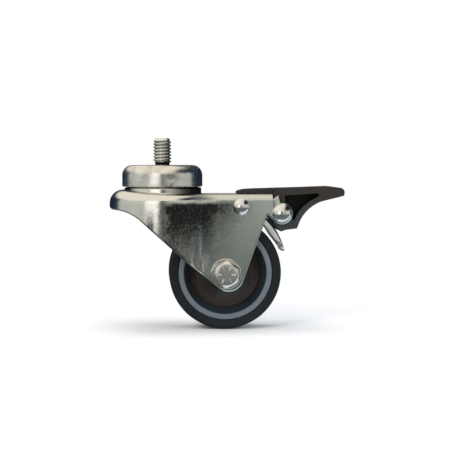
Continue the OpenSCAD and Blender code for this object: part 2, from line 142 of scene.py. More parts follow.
def new_material(name):
    material = bpy.data.materials.new(name)
    material.use_nodes = True
    tree = material.node_tree
    shader = tree.nodes["Principled BSDF"]
    where = tree.nodes.new("ShaderNodeTexCoord").outputs["Object"]
    return material, tree, shader, where


def mapped(tree, where, scale=(1, 1, 1), centre=(0, 0, 0), turn=(0, 0, 0)):
    """Object coordinates scaled about a centre given in millimetres."""
    node = tree.nodes.new("ShaderNodeMapping")
    node.vector_type = "TEXTURE"
    node.inputs["Location"].default_value = [c * MM for c in centre]
    node.inputs["Rotation"].default_value = [math.radians(t) for t in turn]
    node.inputs["Scale"].default_value = [1 / s for s in scale]
    tree.links.new(where, node.inputs["Vector"])
    return node.outputs["Vector"]


def noise(tree, where, size, detail=3, rough=0.55, distortion=0.0):
    """Noise whose blotches are about this many millimetres across."""
    node = tree.nodes.new("ShaderNodeTexNoise")
    node.inputs["Scale"].default_value = 1 / (size * MM)
    node.inputs["Detail"].default_value = detail
    node.inputs["Roughness"].default_value = rough
    node.inputs["Distortion"].default_value = distortion
    tree.links.new(where, node.inputs["Vector"])
    return node.outputs["Fac"]


def maths(tree, operation, a, b=None, c=None, clamp=False):
    node = tree.nodes.new("ShaderNodeMath")
    node.operation = operation
    node.use_clamp = clamp
    for socket, value in zip(node.inputs, (a, b, c)):
        if value is None:
            continue
        if isinstance(value, (int, float)):
            socket.default_value = value
        else:
            tree.links.new(value, socket)
    return node.outputs[0]


def step(tree, value, start, end, soft=True):
    """0 before start and 1 after end."""
    node = tree.nodes.new("ShaderNodeMapRange")
    node.interpolation_type = "SMOOTHSTEP" if soft else "LINEAR"
    tree.links.new(value, node.inputs["Value"])
    node.inputs["From Min"].default_value = start
    node.inputs["From Max"].default_value = end
    return node.outputs["Result"]


def between(tree, value, start, end, to_min, to_max):
    node = tree.nodes.new("ShaderNodeMapRange")
    tree.links.new(value, node.inputs["Value"])
    for name, number in (("From Min", start), ("From Max", end), ("To Min", to_min), ("To Max", to_max)):
        node.inputs[name].default_value = number
    return node.outputs["Result"]


def blend_colour(tree, factor, a, b):
    node = tree.nodes.new("ShaderNodeMix")
    node.data_type = "RGBA"
    tree.links.new(factor, node.inputs[0])
    for socket, value in ((node.inputs[6], a), (node.inputs[7], b)):
        if isinstance(value, bpy.types.NodeSocket):
            tree.links.new(value, socket)
        else:
            socket.default_value = (*value[:3], 1)
    return node.outputs[2]


def split(tree, where):
    node = tree.nodes.new("ShaderNodeSeparateXYZ")
    tree.links.new(where, node.inputs[0])
    return node.outputs


def bump(tree, shader, height, depth, strength=1.0, before=None):
    """Bump whose full height is depth millimetres."""
    node = tree.nodes.new("ShaderNodeBump")
    node.inputs["Strength"].default_value = strength
    node.inputs["Distance"].default_value = depth * MM
    tree.links.new(height, node.inputs["Height"])
    if before is not None:
        tree.links.new(before, node.inputs["Normal"])
    tree.links.new(node.outputs["Normal"], shader.inputs["Normal"])
    return node.outputs["Normal"]


def colours():
    return bpy.context.scene.castor_colours


def sizes():
    return bpy.context.scene.castor_sizes


def tinted(colour, factor):
    return tuple(c * factor for c in colour)


def plated(name, colour, rough=0.24, stain=0.25, grain=0.02, stretch=(1, 1, 1), centre=(0, 0, 0)):
    """Bright plating with faint mottling, fine rolling marks and small dark specks."""
    material, tree, shader, where = new_material(name)
    shader.inputs["Metallic"].default_value = 1.0
    spread = mapped(tree, where, stretch, centre)
    clouds = noise(tree, where, 5, 4, 0.6, 0.4)
    specks = noise(tree, where, 0.55, 2, 0.6)
    veil = maths(tree, "MULTIPLY", step(tree, clouds, 0.42, 0.74), stain)
    dots = maths(tree, "MULTIPLY", step(tree, specks, 0.64, 0.76), stain * 0.8)
    dirt = maths(tree, "ADD", veil, dots, clamp=True)
    tree.links.new(blend_colour(tree, dirt, colour, tinted(colours().stain, 5)), shader.inputs["Base Color"])
    marks = noise(tree, spread, 0.8, 3, 0.6)
    tree.links.new(between(tree, maths(tree, "ADD", clouds, marks), 0.6, 1.4, rough * 0.75, rough * 1.3),
                   shader.inputs["Roughness"])
    waves = bump(tree, shader, clouds, 0.05)
    bump(tree, shader, marks, grain, 1.0, waves)
    return material


def moulded(name, colour, rough=0.42, grain=0.015, grain_size=0.35, vary=0.25):
    """Moulded plastic with a fine spark-eroded grain and slight flow marks."""
    material, tree, shader, where = new_material(name)
    clouds = noise(tree, where, 9, 3, 0.5, 0.6)
    pores = noise(tree, where, grain_size, 2, 0.5)
    tree.links.new(blend_colour(tree, clouds, tinted(colour, 1 - vary), tinted(colour, 1 + vary)),
                   shader.inputs["Base Color"])
    tree.links.new(between(tree, maths(tree, "ADD", clouds, pores), 0.6, 1.4, rough * 0.85, rough * 1.15),
                   shader.inputs["Roughness"])
    bump(tree, shader, pores, grain)
    return material


# ---- mesh building


def finish_piece(obj, material, body, node=None, sharp=40):
    """Closes the seams, turns the faces outward, smooths and hands the piece to the frame."""
    shape = bmesh.new()
    shape.from_mesh(obj.data)
    bmesh.ops.remove_doubles(shape, verts=shape.verts, dist=0.002 * MM)
    bmesh.ops.recalc_face_normals(shape, faces=shape.faces)
    shape.to_mesh(obj.data)
    shape.free()
    obj.data.shade_smooth()
    obj.data.set_sharp_from_angle(angle=math.radians(sharp))
    obj.data.materials.clear()
    obj.data.materials.append(material)
    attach(obj, body)
    if node:
        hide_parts(node)
    return obj


def mesh_object(name, verts, faces):
    mesh = bpy.data.meshes.new(name)
    mesh.from_pydata([Vector(v) * MM for v in verts], [], faces)
    obj = bpy.data.objects.new(name, mesh)
    bpy.context.scene.collection.objects.link(obj)
    return obj


def even_shading(obj):
    """Flat parts keep flat shading next to their rounded edges."""
    modifier = obj.modifiers.new("even shading", "WEIGHTED_NORMAL")
    modifier.keep_sharp = True
    modifier.weight = 60


def rounded(points, steps=5, closed=True):
    """A polyline in which each point that has a third number is rounded by that radius."""
    out = []
    count = len(points)
    for i, point in enumerate(points):
        radius = point[2] if len(point) > 2 else 0
        at = Vector(point[:2])
        if not radius or (not closed and i in (0, count - 1)):
            out.append(at)
            continue
        back = Vector(points[i - 1][:2]) - at
        on = Vector(points[(i + 1) % count][:2]) - at
        half = back.angle(on) / 2
        if half > math.radians(89.9):
            out.append(at)
            continue
        reach = min(radius / math.tan(half), 0.49 * back.length, 0.49 * on.length)
        radius = reach * math.tan(half)
        back.normalize()
        on.normalize()
        centre = at + (back + on).normalized() * radius / math.sin(half)
        first, last = at + back * reach - centre, at + on * reach - centre
        sweep = first.angle_signed(last)
        for k in range(steps + 1):
            turn = Matrix.Rotation(-sweep * k / steps, 2)
            out.append(centre + turn @ first)
    return out


def turned(name, profile, axis="Z", centre=(0, 0, 0), segments=160, closed=True):
    """A turned piece. The profile is radius and height, a ring if closed, else from pole to pole."""
    verts, faces = [], []
    rows = len(profile)
    for k in range(segments):
        a = 2 * math.pi * k / segments
        for r, h in profile:
            flat = (r * math.cos(a), r * math.sin(a))
            place = (flat[0], flat[1], h) if axis == "Z" else (flat[0], h, flat[1])
            verts.append(Vector(place) + Vector(centre))
    for k in range(segments):
        here, there = k * rows, ((k + 1) % segments) * rows
        for j in range(rows if closed else rows - 1):
            n = (j + 1) % rows
            faces.append((here + j, here + n, there + n, there + j))
    return mesh_object(name, verts, faces)


def mirrored_profile(half):
    """The whole closed profile of a piece that is alike on both sides of the middle plane."""
    return half + [Vector((r, -h)) for r, h in reversed(half)]


def wheel_turned(name, profile, **words):
    return turned(name, profile, "Y", (AXLE.x, 0, AXLE.z), **words)


# ---- geometry nodes for what repeats


class Tree:
    """A geometry node tree with named inputs, which ends in Realize Instances and Set Material."""

    def __init__(self, name, inputs):
        self.group = bpy.data.node_groups.new(name, "GeometryNodeTree")
        face = self.group.interface
        self.sockets = {}
        for label, kind, value in inputs:
            socket = face.new_socket(label, in_out="INPUT", socket_type=kind)
            self.sockets[label] = (socket.identifier, value)
        face.new_socket("Geometry", in_out="OUTPUT", socket_type="NodeSocketGeometry")
        self.entry = self.group.nodes.new("NodeGroupInput")
        self.exit = self.group.nodes.new("NodeGroupOutput")

    def value(self, label):
        return self.entry.outputs[label]

    def add(self, kind, links=None, settings=None):
        node = self.group.nodes.new(kind)
        for key, value in (settings or {}).items():
            setattr(node, key, value)
        for key, value in (links or {}).items():
            socket = node.inputs[key]
            if isinstance(value, bpy.types.NodeSocket):
                self.group.links.new(value, socket)
            else:
                socket.default_value = value
        return node

    def maths(self, operation, a, b=0.0, c=0.0):
        return self.add("ShaderNodeMath", {0: a, 1: b, 2: c}, {"operation": operation}).outputs[0]

    def build(self, name, geometry, material):
        """Runs the tree on an empty mesh and returns its result as a plain mesh object."""
        real = self.add("GeometryNodeRealizeInstances", {"Geometry": geometry})
        painted = self.add("GeometryNodeSetMaterial", {"Geometry": real.outputs[0], "Material": material})
        self.group.links.new(painted.outputs[0], self.exit.inputs["Geometry"])
        carrier = bpy.data.objects.new(name + "_carrier", bpy.data.meshes.new(name))
        bpy.context.scene.collection.objects.link(carrier)
        modifier = carrier.modifiers.new(name, "NODES")
        modifier.node_group = self.group
        for identifier, value in self.sockets.values():
            modifier[identifier] = value
        bpy.context.view_layer.update()
        graph = bpy.context.evaluated_depsgraph_get()
        mesh = bpy.data.meshes.new_from_object(carrier.evaluated_get(graph))
        bpy.data.objects.remove(carrier)
        obj = bpy.data.objects.new(name, mesh)
        bpy.context.scene.collection.objects.link(obj)
        return obj


def ball_ring(name, node, material):
    """Equal balls set round the swivel axis, at the pitch that the frame gives."""
    lo, hi = low(node), high(node)
    ball = (hi.z - lo.z) / 2
    count = {"upper_balls": 17, "lower_balls": 14}[node]
    tree = Tree(name, [("Count", "NodeSocketInt", count), ("Pitch radius", "NodeSocketFloat", (hi.x - ball) * MM),
                       ("Ball radius", "NodeSocketFloat", ball * MM), ("Height", "NodeSocketFloat", (lo.z + ball) * MM)])
    circle = tree.add("GeometryNodeMeshCircle", {"Vertices": tree.value("Count"), "Radius": tree.value("Pitch radius")})
    sphere = tree.add("GeometryNodeMeshUVSphere", {"Segments": 28, "Rings": 14, "Radius": tree.value("Ball radius")})
    lift = tree.add("ShaderNodeCombineXYZ", {"Z": tree.value("Height")})
    placed = tree.add("GeometryNodeInstanceOnPoints", {"Points": circle.outputs["Mesh"], "Instance": sphere.outputs["Mesh"]})
    moved = tree.add("GeometryNodeTransform", {"Geometry": placed.outputs[0], "Translation": lift.outputs[0]})
    obj = tree.build(name, moved.outputs[0], material)
    return finish_piece(obj, material, "head", node)


def screw_thread(name, material, radius, pitch, depth, bottom, top, chamfer):
    """A true thread: a grid rolled into a cylinder whose radius follows the thread's form."""
    around, per_pitch = 72, 14
    length = top - bottom
    rows = int(length / pitch * per_pitch)
    tree = Tree(name, [(label, "NodeSocketFloat", value * MM) for label, value in (
        ("Radius", radius), ("Pitch", pitch), ("Depth", depth), ("Bottom", bottom), ("Length", length),
        ("Chamfer", chamfer))])
    grid = tree.add("GeometryNodeMeshGrid", {"Size X": 1.0, "Size Y": 1.0, "Vertices X": around + 1, "Vertices Y": rows + 3})
    index = tree.add("GeometryNodeInputIndex").outputs[0]
    column = tree.maths("FLOOR", tree.maths("DIVIDE", tree.maths("ADD", index, 0.01), rows + 3))
    row = tree.maths("SUBTRACT", index, tree.maths("MULTIPLY", column, rows + 3))
    turn = tree.maths("DIVIDE", column, around)
    share = tree.maths("MINIMUM", tree.maths("MAXIMUM", tree.maths("DIVIDE", tree.maths("SUBTRACT", row, 1.0), rows), 0.0), 1.0)
    climb = tree.maths("MULTIPLY", share, tree.value("Length"))
    phase = tree.maths("FRACT", tree.maths("ADD", tree.maths("SUBTRACT", tree.maths("DIVIDE", climb, tree.value("Pitch")), turn), 8.0))
    flank = tree.maths("ABSOLUTE", tree.maths("SUBTRACT", phase, 0.5))
    form = tree.maths("MINIMUM", tree.maths("MAXIMUM", tree.maths("MULTIPLY", tree.maths("SUBTRACT", 0.44, flank), 2.9), 0.0), 1.0)
    rise = tree.maths("SMOOTH_MIN", form, 0.96, 0.12)
    body = tree.maths("SUBTRACT", tree.value("Radius"), tree.maths("MULTIPLY", tree.maths("SUBTRACT", 0.96, rise), tree.value("Depth")))
    left = tree.maths("SUBTRACT", tree.value("Length"), climb)
    cone = tree.maths("ADD", tree.maths("SUBTRACT", tree.value("Radius"), tree.value("Chamfer")), tree.maths("MULTIPLY", left, 0.95))
    run_out = tree.maths("SUBTRACT", tree.value("Radius"), tree.value("Depth"))
    above = tree.maths("MAXIMUM", tree.maths("SUBTRACT", climb, 1.5 * MM), 0.0)
    groove = tree.maths("ADD", run_out, tree.maths("MULTIPLY", above, 1.5))
    ends = tree.maths("MULTIPLY", tree.maths("GREATER_THAN", row, 0.5), tree.maths("LESS_THAN", row, rows + 1.5))
    reach = tree.maths("MULTIPLY", tree.maths("MINIMUM", tree.maths("MINIMUM", body, cone), groove), ends)
    angle = tree.maths("MULTIPLY", turn, 2 * math.pi)
    place = tree.add("ShaderNodeCombineXYZ", {
        "X": tree.maths("MULTIPLY", reach, tree.maths("COSINE", angle)),
        "Y": tree.maths("MULTIPLY", reach, tree.maths("SINE", angle)),
        "Z": tree.maths("ADD", climb, tree.value("Bottom"))})
    rolled = tree.add("GeometryNodeSetPosition", {"Geometry": grid.outputs["Mesh"], "Position": place.outputs[0]})
    return tree.build(name, rolled.outputs[0], material)


def place_joined(obj, other):
    """Adds the mesh of another object to this one and removes the other."""
    shape = bmesh.new()
    shape.from_mesh(obj.data)
    shape.from_mesh(other.data)
    shape.to_mesh(obj.data)
    shape.free()
    bpy.data.objects.remove(other)
    return obj


# ---- the pieces


class CASTOR_OT_head(bpy.types.Operator):
    """Threaded stem, pressed cap and lower race of the swivel head"""
    bl_idname = "castor.head"
    bl_label = "Swivel head"

    def execute(self, context):
        zinc = stem_finish()
        radius = 3.97
        top = high("threaded_stem").z
        shank, peen, floor = 6.0, 7.0, low("threaded_stem").z
        seat = low("lower_race").z
        stem = turned("threaded_stem_body", rounded([
            (0, -0.3), (4.3, -0.3, 0.2), (4.3, -1.6), (shank, -1.6), (shank, seat + 1.4), (4.7, seat + 1.4),
            (4.7, seat), (peen, seat), (peen, seat - 1.0, 0.5), (peen - 1.4, floor, 0.5), (0, floor)],
            closed=False), closed=False, segments=96)
        thread = screw_thread("threaded_stem_thread", zinc, radius, sizes().thread_pitch,
                              sizes().thread_depth, -0.6, top, 1.1)
        finish_piece(place_joined(stem, thread), zinc, "head", "threaded_stem", sharp=50)
        stem.name = "stem_with_thread"

        cap_r, cap_low = high("head_cap").x, low("head_cap").z
        cap = turned("pressed_head_cap", rounded([
            (4.45, -0.02), (6.5, -0.03, 1), (cap_r, 0, 4.5), (cap_r, cap_low, 0.5), (cap_r - 1.6, cap_low, 0.5),
            (cap_r - 1.6, -1.6, 2.9), (4.45, -1.6)], 10), segments=200)
        finish_piece(cap, cap_finish(), "head", "head_cap")
        even_shading(cap)

        race_r, race_low, race_high = high("lower_race").x, low("lower_race").z, high("lower_race").z
        race = turned("lower_race_cup", rounded([
            (4.85, race_low), (race_r, race_low, 1.6), (race_r, race_high, 0.4), (race_r - 1.4, race_high, 0.4),
            (race_r - 1.4, race_low + 1.4, 0.9), (4.85, race_low + 1.4)], 6), segments=120)
        finish_piece(race, plated("race zinc", tinted(colours().zinc, 0.8), 0.3, 0.4), "head", "lower_race")
        even_shading(race)
        return {"FINISHED"}


def stem_finish():
    """Bright thread with painted shade in its roots and round its foot."""
    material = plated("stem zinc", colours().zinc, 0.15, 0.12, 0.0)
    tree = material.node_tree
    shader = tree.nodes["Principled BSDF"]
    where = [n for n in tree.nodes if n.type == "TEX_COORD"][0].outputs["Object"]
    before = shader.inputs["Base Color"].links[0].from_socket
    x, y, z = split(tree, where)
    out = maths(tree, "SQRT", maths(tree, "ADD", maths(tree, "MULTIPLY", x, x), maths(tree, "MULTIPLY", y, y)))
    root = maths(tree, "SUBTRACT", 1.0, step(tree, out, 3.25 * MM, 3.75 * MM))
    root = maths(tree, "MULTIPLY", root, maths(tree, "SUBTRACT", 1.0, step(tree, z, 10.2 * MM, 10.9 * MM)))
    foot = maths(tree, "SUBTRACT", 1.0, step(tree, z, 0.9 * MM, 1.4 * MM))
    # painted shade: near black round the foot, half as strong in the thread's roots
    root_and_foot_shade = maths(tree, "MAXIMUM", maths(tree, "MULTIPLY", root, 0.5), foot)
    tree.links.new(blend_colour(tree, root_and_foot_shade, before, (0.008, 0.012, 0.018)), shader.inputs["Base Color"])
    return material


def cap_finish():
    """The cap's bright plating, with scratches down its right shoulder and a mottled brown band."""
    material = plated("cap zinc", colours().zinc, 0.25, 0.3, 0.012, (0.25, 0.25, 2))
    tree = material.node_tree
    shader = tree.nodes["Principled BSDF"]
    where = [n for n in tree.nodes if n.type == "TEX_COORD"][0].outputs["Object"]
    before = shader.inputs["Base Color"].links[0].from_socket
    x, y, z = split(tree, where)
    scratch = noise(tree, mapped(tree, where, (9, 9, 0.35)), 1, 2, 0.6)
    upper = maths(tree, "MULTIPLY", step(tree, z, -6 * MM, -1 * MM), step(tree, x, 2 * MM, 10 * MM))
    cut = maths(tree, "MULTIPLY", step(tree, scratch, 0.6, 0.66), upper)
    dull = shader.inputs["Roughness"].links[0].from_socket
    tree.links.new(maths(tree, "ADD", dull, maths(tree, "MULTIPLY", cut, 0.5)), shader.inputs["Roughness"])
    veil = step(tree, noise(tree, where, 3.0, 4, 0.6), 0.34, 0.62)
    band = maths(tree, "MULTIPLY", step(tree, x, 0.5 * MM, 2 * MM),
                 maths(tree, "SUBTRACT", 1.0, step(tree, x, 3.5 * MM, 7 * MM)))
    band = maths(tree, "MULTIPLY", band, maths(tree, "SUBTRACT", 1.0, step(tree, z, -5 * MM, -2 * MM)))
    tree.links.new(blend_colour(tree, maths(tree, "MULTIPLY", veil, maths(tree, "MULTIPLY", band, 0.85)), before,
                                (0.12, 0.08, 0.06)), shader.inputs["Base Color"])
    return material


class CASTOR_OT_balls(bpy.types.Operator):
    """Balls of the upper and the lower race"""
    bl_idname = "castor.balls"
    bl_label = "Race balls"

    def execute(self, context):
        steel = plated("ball steel", colours().polished, 0.12, 0.15, 0.004)
        for node in ("upper_balls", "lower_balls"):
            ball_ring(node.replace("_balls", "_race_balls"), node, steel)
        return {"FINISHED"}


# The pressed fork, on the same rules as its solid
DRUM_R = 23.4
NECK_R = 14.0
NECK_X = math.sqrt((DRUM_R + NECK_R) ** 2 - (CHEEK_OUT + NECK_R) ** 2)
NECK_ANGLE = math.atan2(CHEEK_OUT + NECK_R, NECK_X)
PLATE_Z, NOSE_RAISE, SIDE_BEND, NOSE_BEND = -12.8, 1.9, 3.0, 5.9
BOSS_R, BOSS_ROUND, BORE_R = 15.68, 2.0, 6.4
STEP_R, STEP_Z = 17.3, -9.95
STRIP_END, SLOT_START, SLOT_HALF, EAR_R = 48.0, 40.0, 9.4, 4.7
FOOT_R, SKIRT_Z, SKIRT_TURN = 6.9, -19.6, 18.0
FRONT_SLOPE, REAR_LEAN = math.radians(41.2), math.radians(20)
FLAT_TO = 20.8
FLAT_FROM = FLAT_TO - 9.5
FLAT_Z, FULL_Z = -39.5, -21.0
FOOT = Vector((AXLE.x + 1.1, AXLE.z - 1.1))
FRONT_FOOT = FOOT + FOOT_R * Vector((-math.sin(FRONT_SLOPE), -math.cos(FRONT_SLOPE)))
REAR_FOOT = FOOT + FOOT_R * Vector((math.cos(REAR_LEAN), -math.sin(REAR_LEAN)))
EAR_LOW = PEDAL_PIN.z - 0.5
EAR_CORNER = Vector((REAR_FOOT.x + (EAR_LOW - REAR_FOOT.y) * math.tan(REAR_LEAN), EAR_LOW))
TURN_LEN = SKIRT_TURN * math.tan(FRONT_SLOPE / 2)
FRONT_TOP_X = FRONT_FOOT.x - (SKIRT_Z - FRONT_FOOT.y) / math.tan(FRONT_SLOPE)
TURN_A = FRONT_TOP_X - TURN_LEN
TURN_B = FRONT_TOP_X + TURN_LEN * math.cos(FRONT_SLOPE)


def ease(value):
    u = min(max(value, 0), 1)
    return u * u * (3 - 2 * u)


def lerp(a, b, t):
    return a + (b - a) * t


def ear_touch():
    """Where the line from the ear's corner touches the round of the ear."""
    pin = Vector((PEDAL_PIN.x, PEDAL_PIN.z))
    way = pin - EAR_CORNER
    lean = math.atan2(way.y, way.x) - math.asin(EAR_R / way.length)
    reach = math.sqrt(way.length ** 2 - EAR_R ** 2)
    return EAR_CORNER + reach * Vector((math.cos(lean), math.sin(lean)))


def edge_height(x):
    """Height of the sheet's lower edge and its slope, at a place along the fork."""
    nose = TURN_A - 0.5
    if x < nose:
        return SKIRT_Z + (nose - x) / 6 * 3, -0.5
    if x < TURN_A:
        return SKIRT_Z, 0.0
    if x < TURN_B:
        rise = math.sqrt(SKIRT_TURN ** 2 - (x - TURN_A) ** 2)
        return SKIRT_Z - SKIRT_TURN + rise, -(x - TURN_A) / rise
    if x < FRONT_FOOT.x:
        return FRONT_FOOT.y + (FRONT_FOOT.x - x) * math.tan(FRONT_SLOPE), -math.tan(FRONT_SLOPE)
    if x < REAR_FOOT.x:
        drop = math.sqrt(FOOT_R ** 2 - (x - FOOT.x) ** 2)
        return FOOT.y - drop, (x - FOOT.x) / drop
    if x < EAR_CORNER.x:
        return REAR_FOOT.y + (x - REAR_FOOT.x) / math.tan(REAR_LEAN), 1 / math.tan(REAR_LEAN)
    touch = ear_touch()
    slope = (touch.y - EAR_CORNER.y) / (touch.x - EAR_CORNER.x)
    return EAR_CORNER.y + (x - EAR_CORNER.x) * slope, slope


def plan_columns():
    """Columns of the far side from the nose to the bent edge's end: place, normal, share of nose."""
    out = []
    drum_steps = 64
    for i in range(drum_steps + 1):
        a = math.pi - i * (math.pi - NECK_ANGLE) / drum_steps
        out.append((Vector((math.cos(a), math.sin(a))) * DRUM_R, Vector((math.cos(a), math.sin(a))),
                    ease((math.degrees(a) - 60) / 115)))
    neck_steps = 16
    for i in range(1, neck_steps + 1):
        a = math.pi + NECK_ANGLE + i * (math.pi / 2 - NECK_ANGLE) / neck_steps
        way = Vector((math.cos(a), math.sin(a)))
        out.append((Vector((NECK_X, CHEEK_OUT + NECK_R)) + way * NECK_R, -way, 0.0))
    stops = [(NECK_X, 33.0, 12), (33.0, 35.2, 10), (35.2, SLOT_START, 9), (SLOT_START, EAR_CORNER.x, 12),
             (EAR_CORNER.x, STRIP_END, 5)]
    for a, b, n in stops:
        for i in range(1, n + 1):
            out.append((Vector((lerp(a, b, i / n), CHEEK_OUT)), Vector((0, 1)), 0.0))
    return out


WALL_ROWS = 26
BEND_ROWS = 10


def column_rows(column, inner):
    """Points of one column of a skin from the bend's start to the lower edge."""
    place, normal, nose = column
    top = PLATE_Z + NOSE_RAISE * nose - inner
    bend = SIDE_BEND + (NOSE_BEND - SIDE_BEND) * nose - inner
    edge = place - normal * inner
    start = edge - normal * bend
    rows = []
    for i in range(BEND_ROWS + 1):
        b = math.pi / 2 * i / BEND_ROWS
        rows.append(Vector((*(start + normal * bend * math.sin(b)), top - bend * (1 - math.cos(b)))))
    low_z, slope = edge_height(place.x)
    lean = math.sqrt(1 + slope * slope)
    round_r = sizes().edge_round
    flatness = ease((place.x - FLAT_FROM) / (FLAT_TO - FLAT_FROM))
    flat_y = math.copysign(CHEEK_OUT - inner, place.y)

    def wall_point(z, depth=0.0):
        share = ease((FULL_Z - z) / (FULL_Z - FLAT_Z)) * flatness
        y = lerp(edge.y, flat_y, share)
        return Vector((edge.x, y, z)) - Vector((*normal, 0)) * depth

    begin, end = top - bend, low_z + round_r * lean
    for i in range(1, WALL_ROWS + 1):
        rows.append(wall_point(lerp(begin, end, i / WALL_ROWS)))
    for i in range(1, 4):
        b = math.pi / 2 * i / 3
        inset = round_r * (1 - math.sin(b)) * lean
        depth = round_r * (1 - math.cos(b)) * (1 if inner == 0 else -1)
        rows.append(wall_point(low_z + inset, depth))
    return rows


def boss_rows(angle, nose, inner):
    """Points of the raised race boss along one direction, from the bore to its root."""
    way = Vector((math.cos(angle), math.sin(angle)))
    top = BOSS_TOP - inner
    plate = PLATE_Z + NOSE_RAISE * nose - inner
    wall = BOSS_R - inner
    round_r = max(BOSS_ROUND - inner, 0.5)
    places = [(BORE_R, top), (lerp(BORE_R, wall - round_r, 0.5), top)]
    for i in range(7):
        b = math.pi / 2 * i / 6
        places.append((wall - round_r * (1 - math.sin(b)), top - round_r * (1 - math.cos(b))))
    shelf = STEP_Z - inner
    step_r = lerp(STEP_R, DRUM_R - NOSE_BEND - 0.7, nose) - inner
    for i in range(5):
        b = math.pi / 2 * i / 4
        places.append((wall + 0.4 * (1 - math.cos(b)), shelf + 0.4 * (1 - math.sin(b))))
    for i in range(5):
        b = math.pi / 2 * i / 4
        places.append((step_r - 0.6 * (1 - math.sin(b)), min(shelf - 0.6 * (1 - math.cos(b)), shelf)))
    root = min(0.5, (shelf - 0.6 - plate) / 2)
    for i in range(5):
        b = math.pi / 2 * i / 4
        places.append((step_r + root * (1 - math.cos(b)), plate + root * (1 - math.sin(b))))
    return [Vector((*(way * r), z)) for r, z in places]


def fork_mesh():
    """The pressed fork as two skins joined along every edge of the sheet."""
    half = plan_columns()
    far = half
    near = [(Vector((p.x, -p.y)), Vector((n.x, -n.y)), w) for p, n, w in half]
    loop = list(reversed(near)) + far[1:]
    verts, faces = [], []

    def strip(a, b, flip=False):
        """Quads between two rows of points of the same length."""
        base = len(verts)
        verts.extend(a)
        verts.extend(b)
        n = len(a)
        for i in range(n - 1):
            faces.append((base + i, base + i + 1, base + n + i + 1, base + n + i))

    def grid(lines):
        base = len(verts)
        n = len(lines[0])
        for line in lines:
            verts.extend(line)
        for k in range(len(lines) - 1):
            for i in range(n - 1):
                a = base + k * n + i
                faces.append((a, a + 1, a + n + 1, a + n))

    fan_steps = 5
    skins = []
    for inner in (0.0, SHEET):
        walls = [column_rows(c, inner) for c in loop]
        grid(walls)
        fans = []
        for column, wall in zip(loop, walls):
            if column[0].x > SLOT_START + 0.001:
                continue
            fans.append((wall[0], column[2]))
        rear_y = [SLOT_HALF * (1 - k / 6) for k in range(13)]
        bridge = [(Vector((SLOT_START, y, PLATE_Z - inner)), 0.0) for y in rear_y]
        ring = fans + bridge
        lines = []
        for outer, nose in ring:
            angle = math.atan2(outer.y, outer.x)
            boss = boss_rows(angle, nose, inner)
            root = boss[-1]
            lines.append(boss + [root.lerp(outer, i / fan_steps) for i in range(1, fan_steps + 1)])
        grid(lines + [lines[0]])
        skins.append((walls, lines, [p for p, w in bridge]))
        for side in (1, -1):
            prong = [w for c, w in zip(loop, walls) if c[0].x > SLOT_START - 0.001 and c[0].y * side > 0]
            strip([Vector((w[0].x, side * SLOT_HALF, w[0].z)) for w in prong], [w[0] for w in prong])

    outer, inner = skins
    # the bore's edge, the lower edge, the slot's edges
    strip([line[0] for line in outer[1]] + [outer[1][0][0]], [line[0] for line in inner[1]] + [inner[1][0][0]])
    strip([w[-1] for w in outer[0]], [w[-1] for w in inner[0]])
    strip(outer[2], inner[2])
    for side in (1, -1):
        picks = [i for i, c in enumerate(loop) if c[0].x > SLOT_START - 0.001 and c[0].y * side > 0]
        strip([Vector((outer[0][i][0].x, side * SLOT_HALF, PLATE_Z)) for i in picks],
              [Vector((inner[0][i][0].x, side * SLOT_HALF, PLATE_Z - SHEET)) for i in picks])
        last = len(loop) - 1 if side > 0 else 0
        a, b = outer[0][last], inner[0][last]
        cut_a = [Vector((STRIP_END, side * SLOT_HALF, PLATE_Z))] + a[:BEND_ROWS + 1]
        cut_b = [Vector((STRIP_END, side * SLOT_HALF, PLATE_Z - SHEET))] + b[:BEND_ROWS + 1]
        strip(cut_a, cut_b)
        ear_faces(a[BEND_ROWS:], b[BEND_ROWS:], side, verts, faces)
    return mesh_object("pressed_fork", verts, faces)


def ear_outline_points():
    """Outline of the ear beyond the bent edge's end, from the lower edge round to its top."""
    pin = Vector((PEDAL_PIN.x, PEDAL_PIN.z))
    touch = ear_touch()
    start = math.atan2(touch.y - pin.y, touch.x - pin.x)
    end = math.radians(98)
    steps = 28
    arc = [pin + EAR_R * Vector((math.cos(lerp(start, end, i / steps)), math.sin(lerp(start, end, i / steps))))
           for i in range(steps + 1)]
    return arc + [Vector((STRIP_END + 2.5, PLATE_Z - 0.4)), Vector((STRIP_END, PLATE_Z - 2.2))]


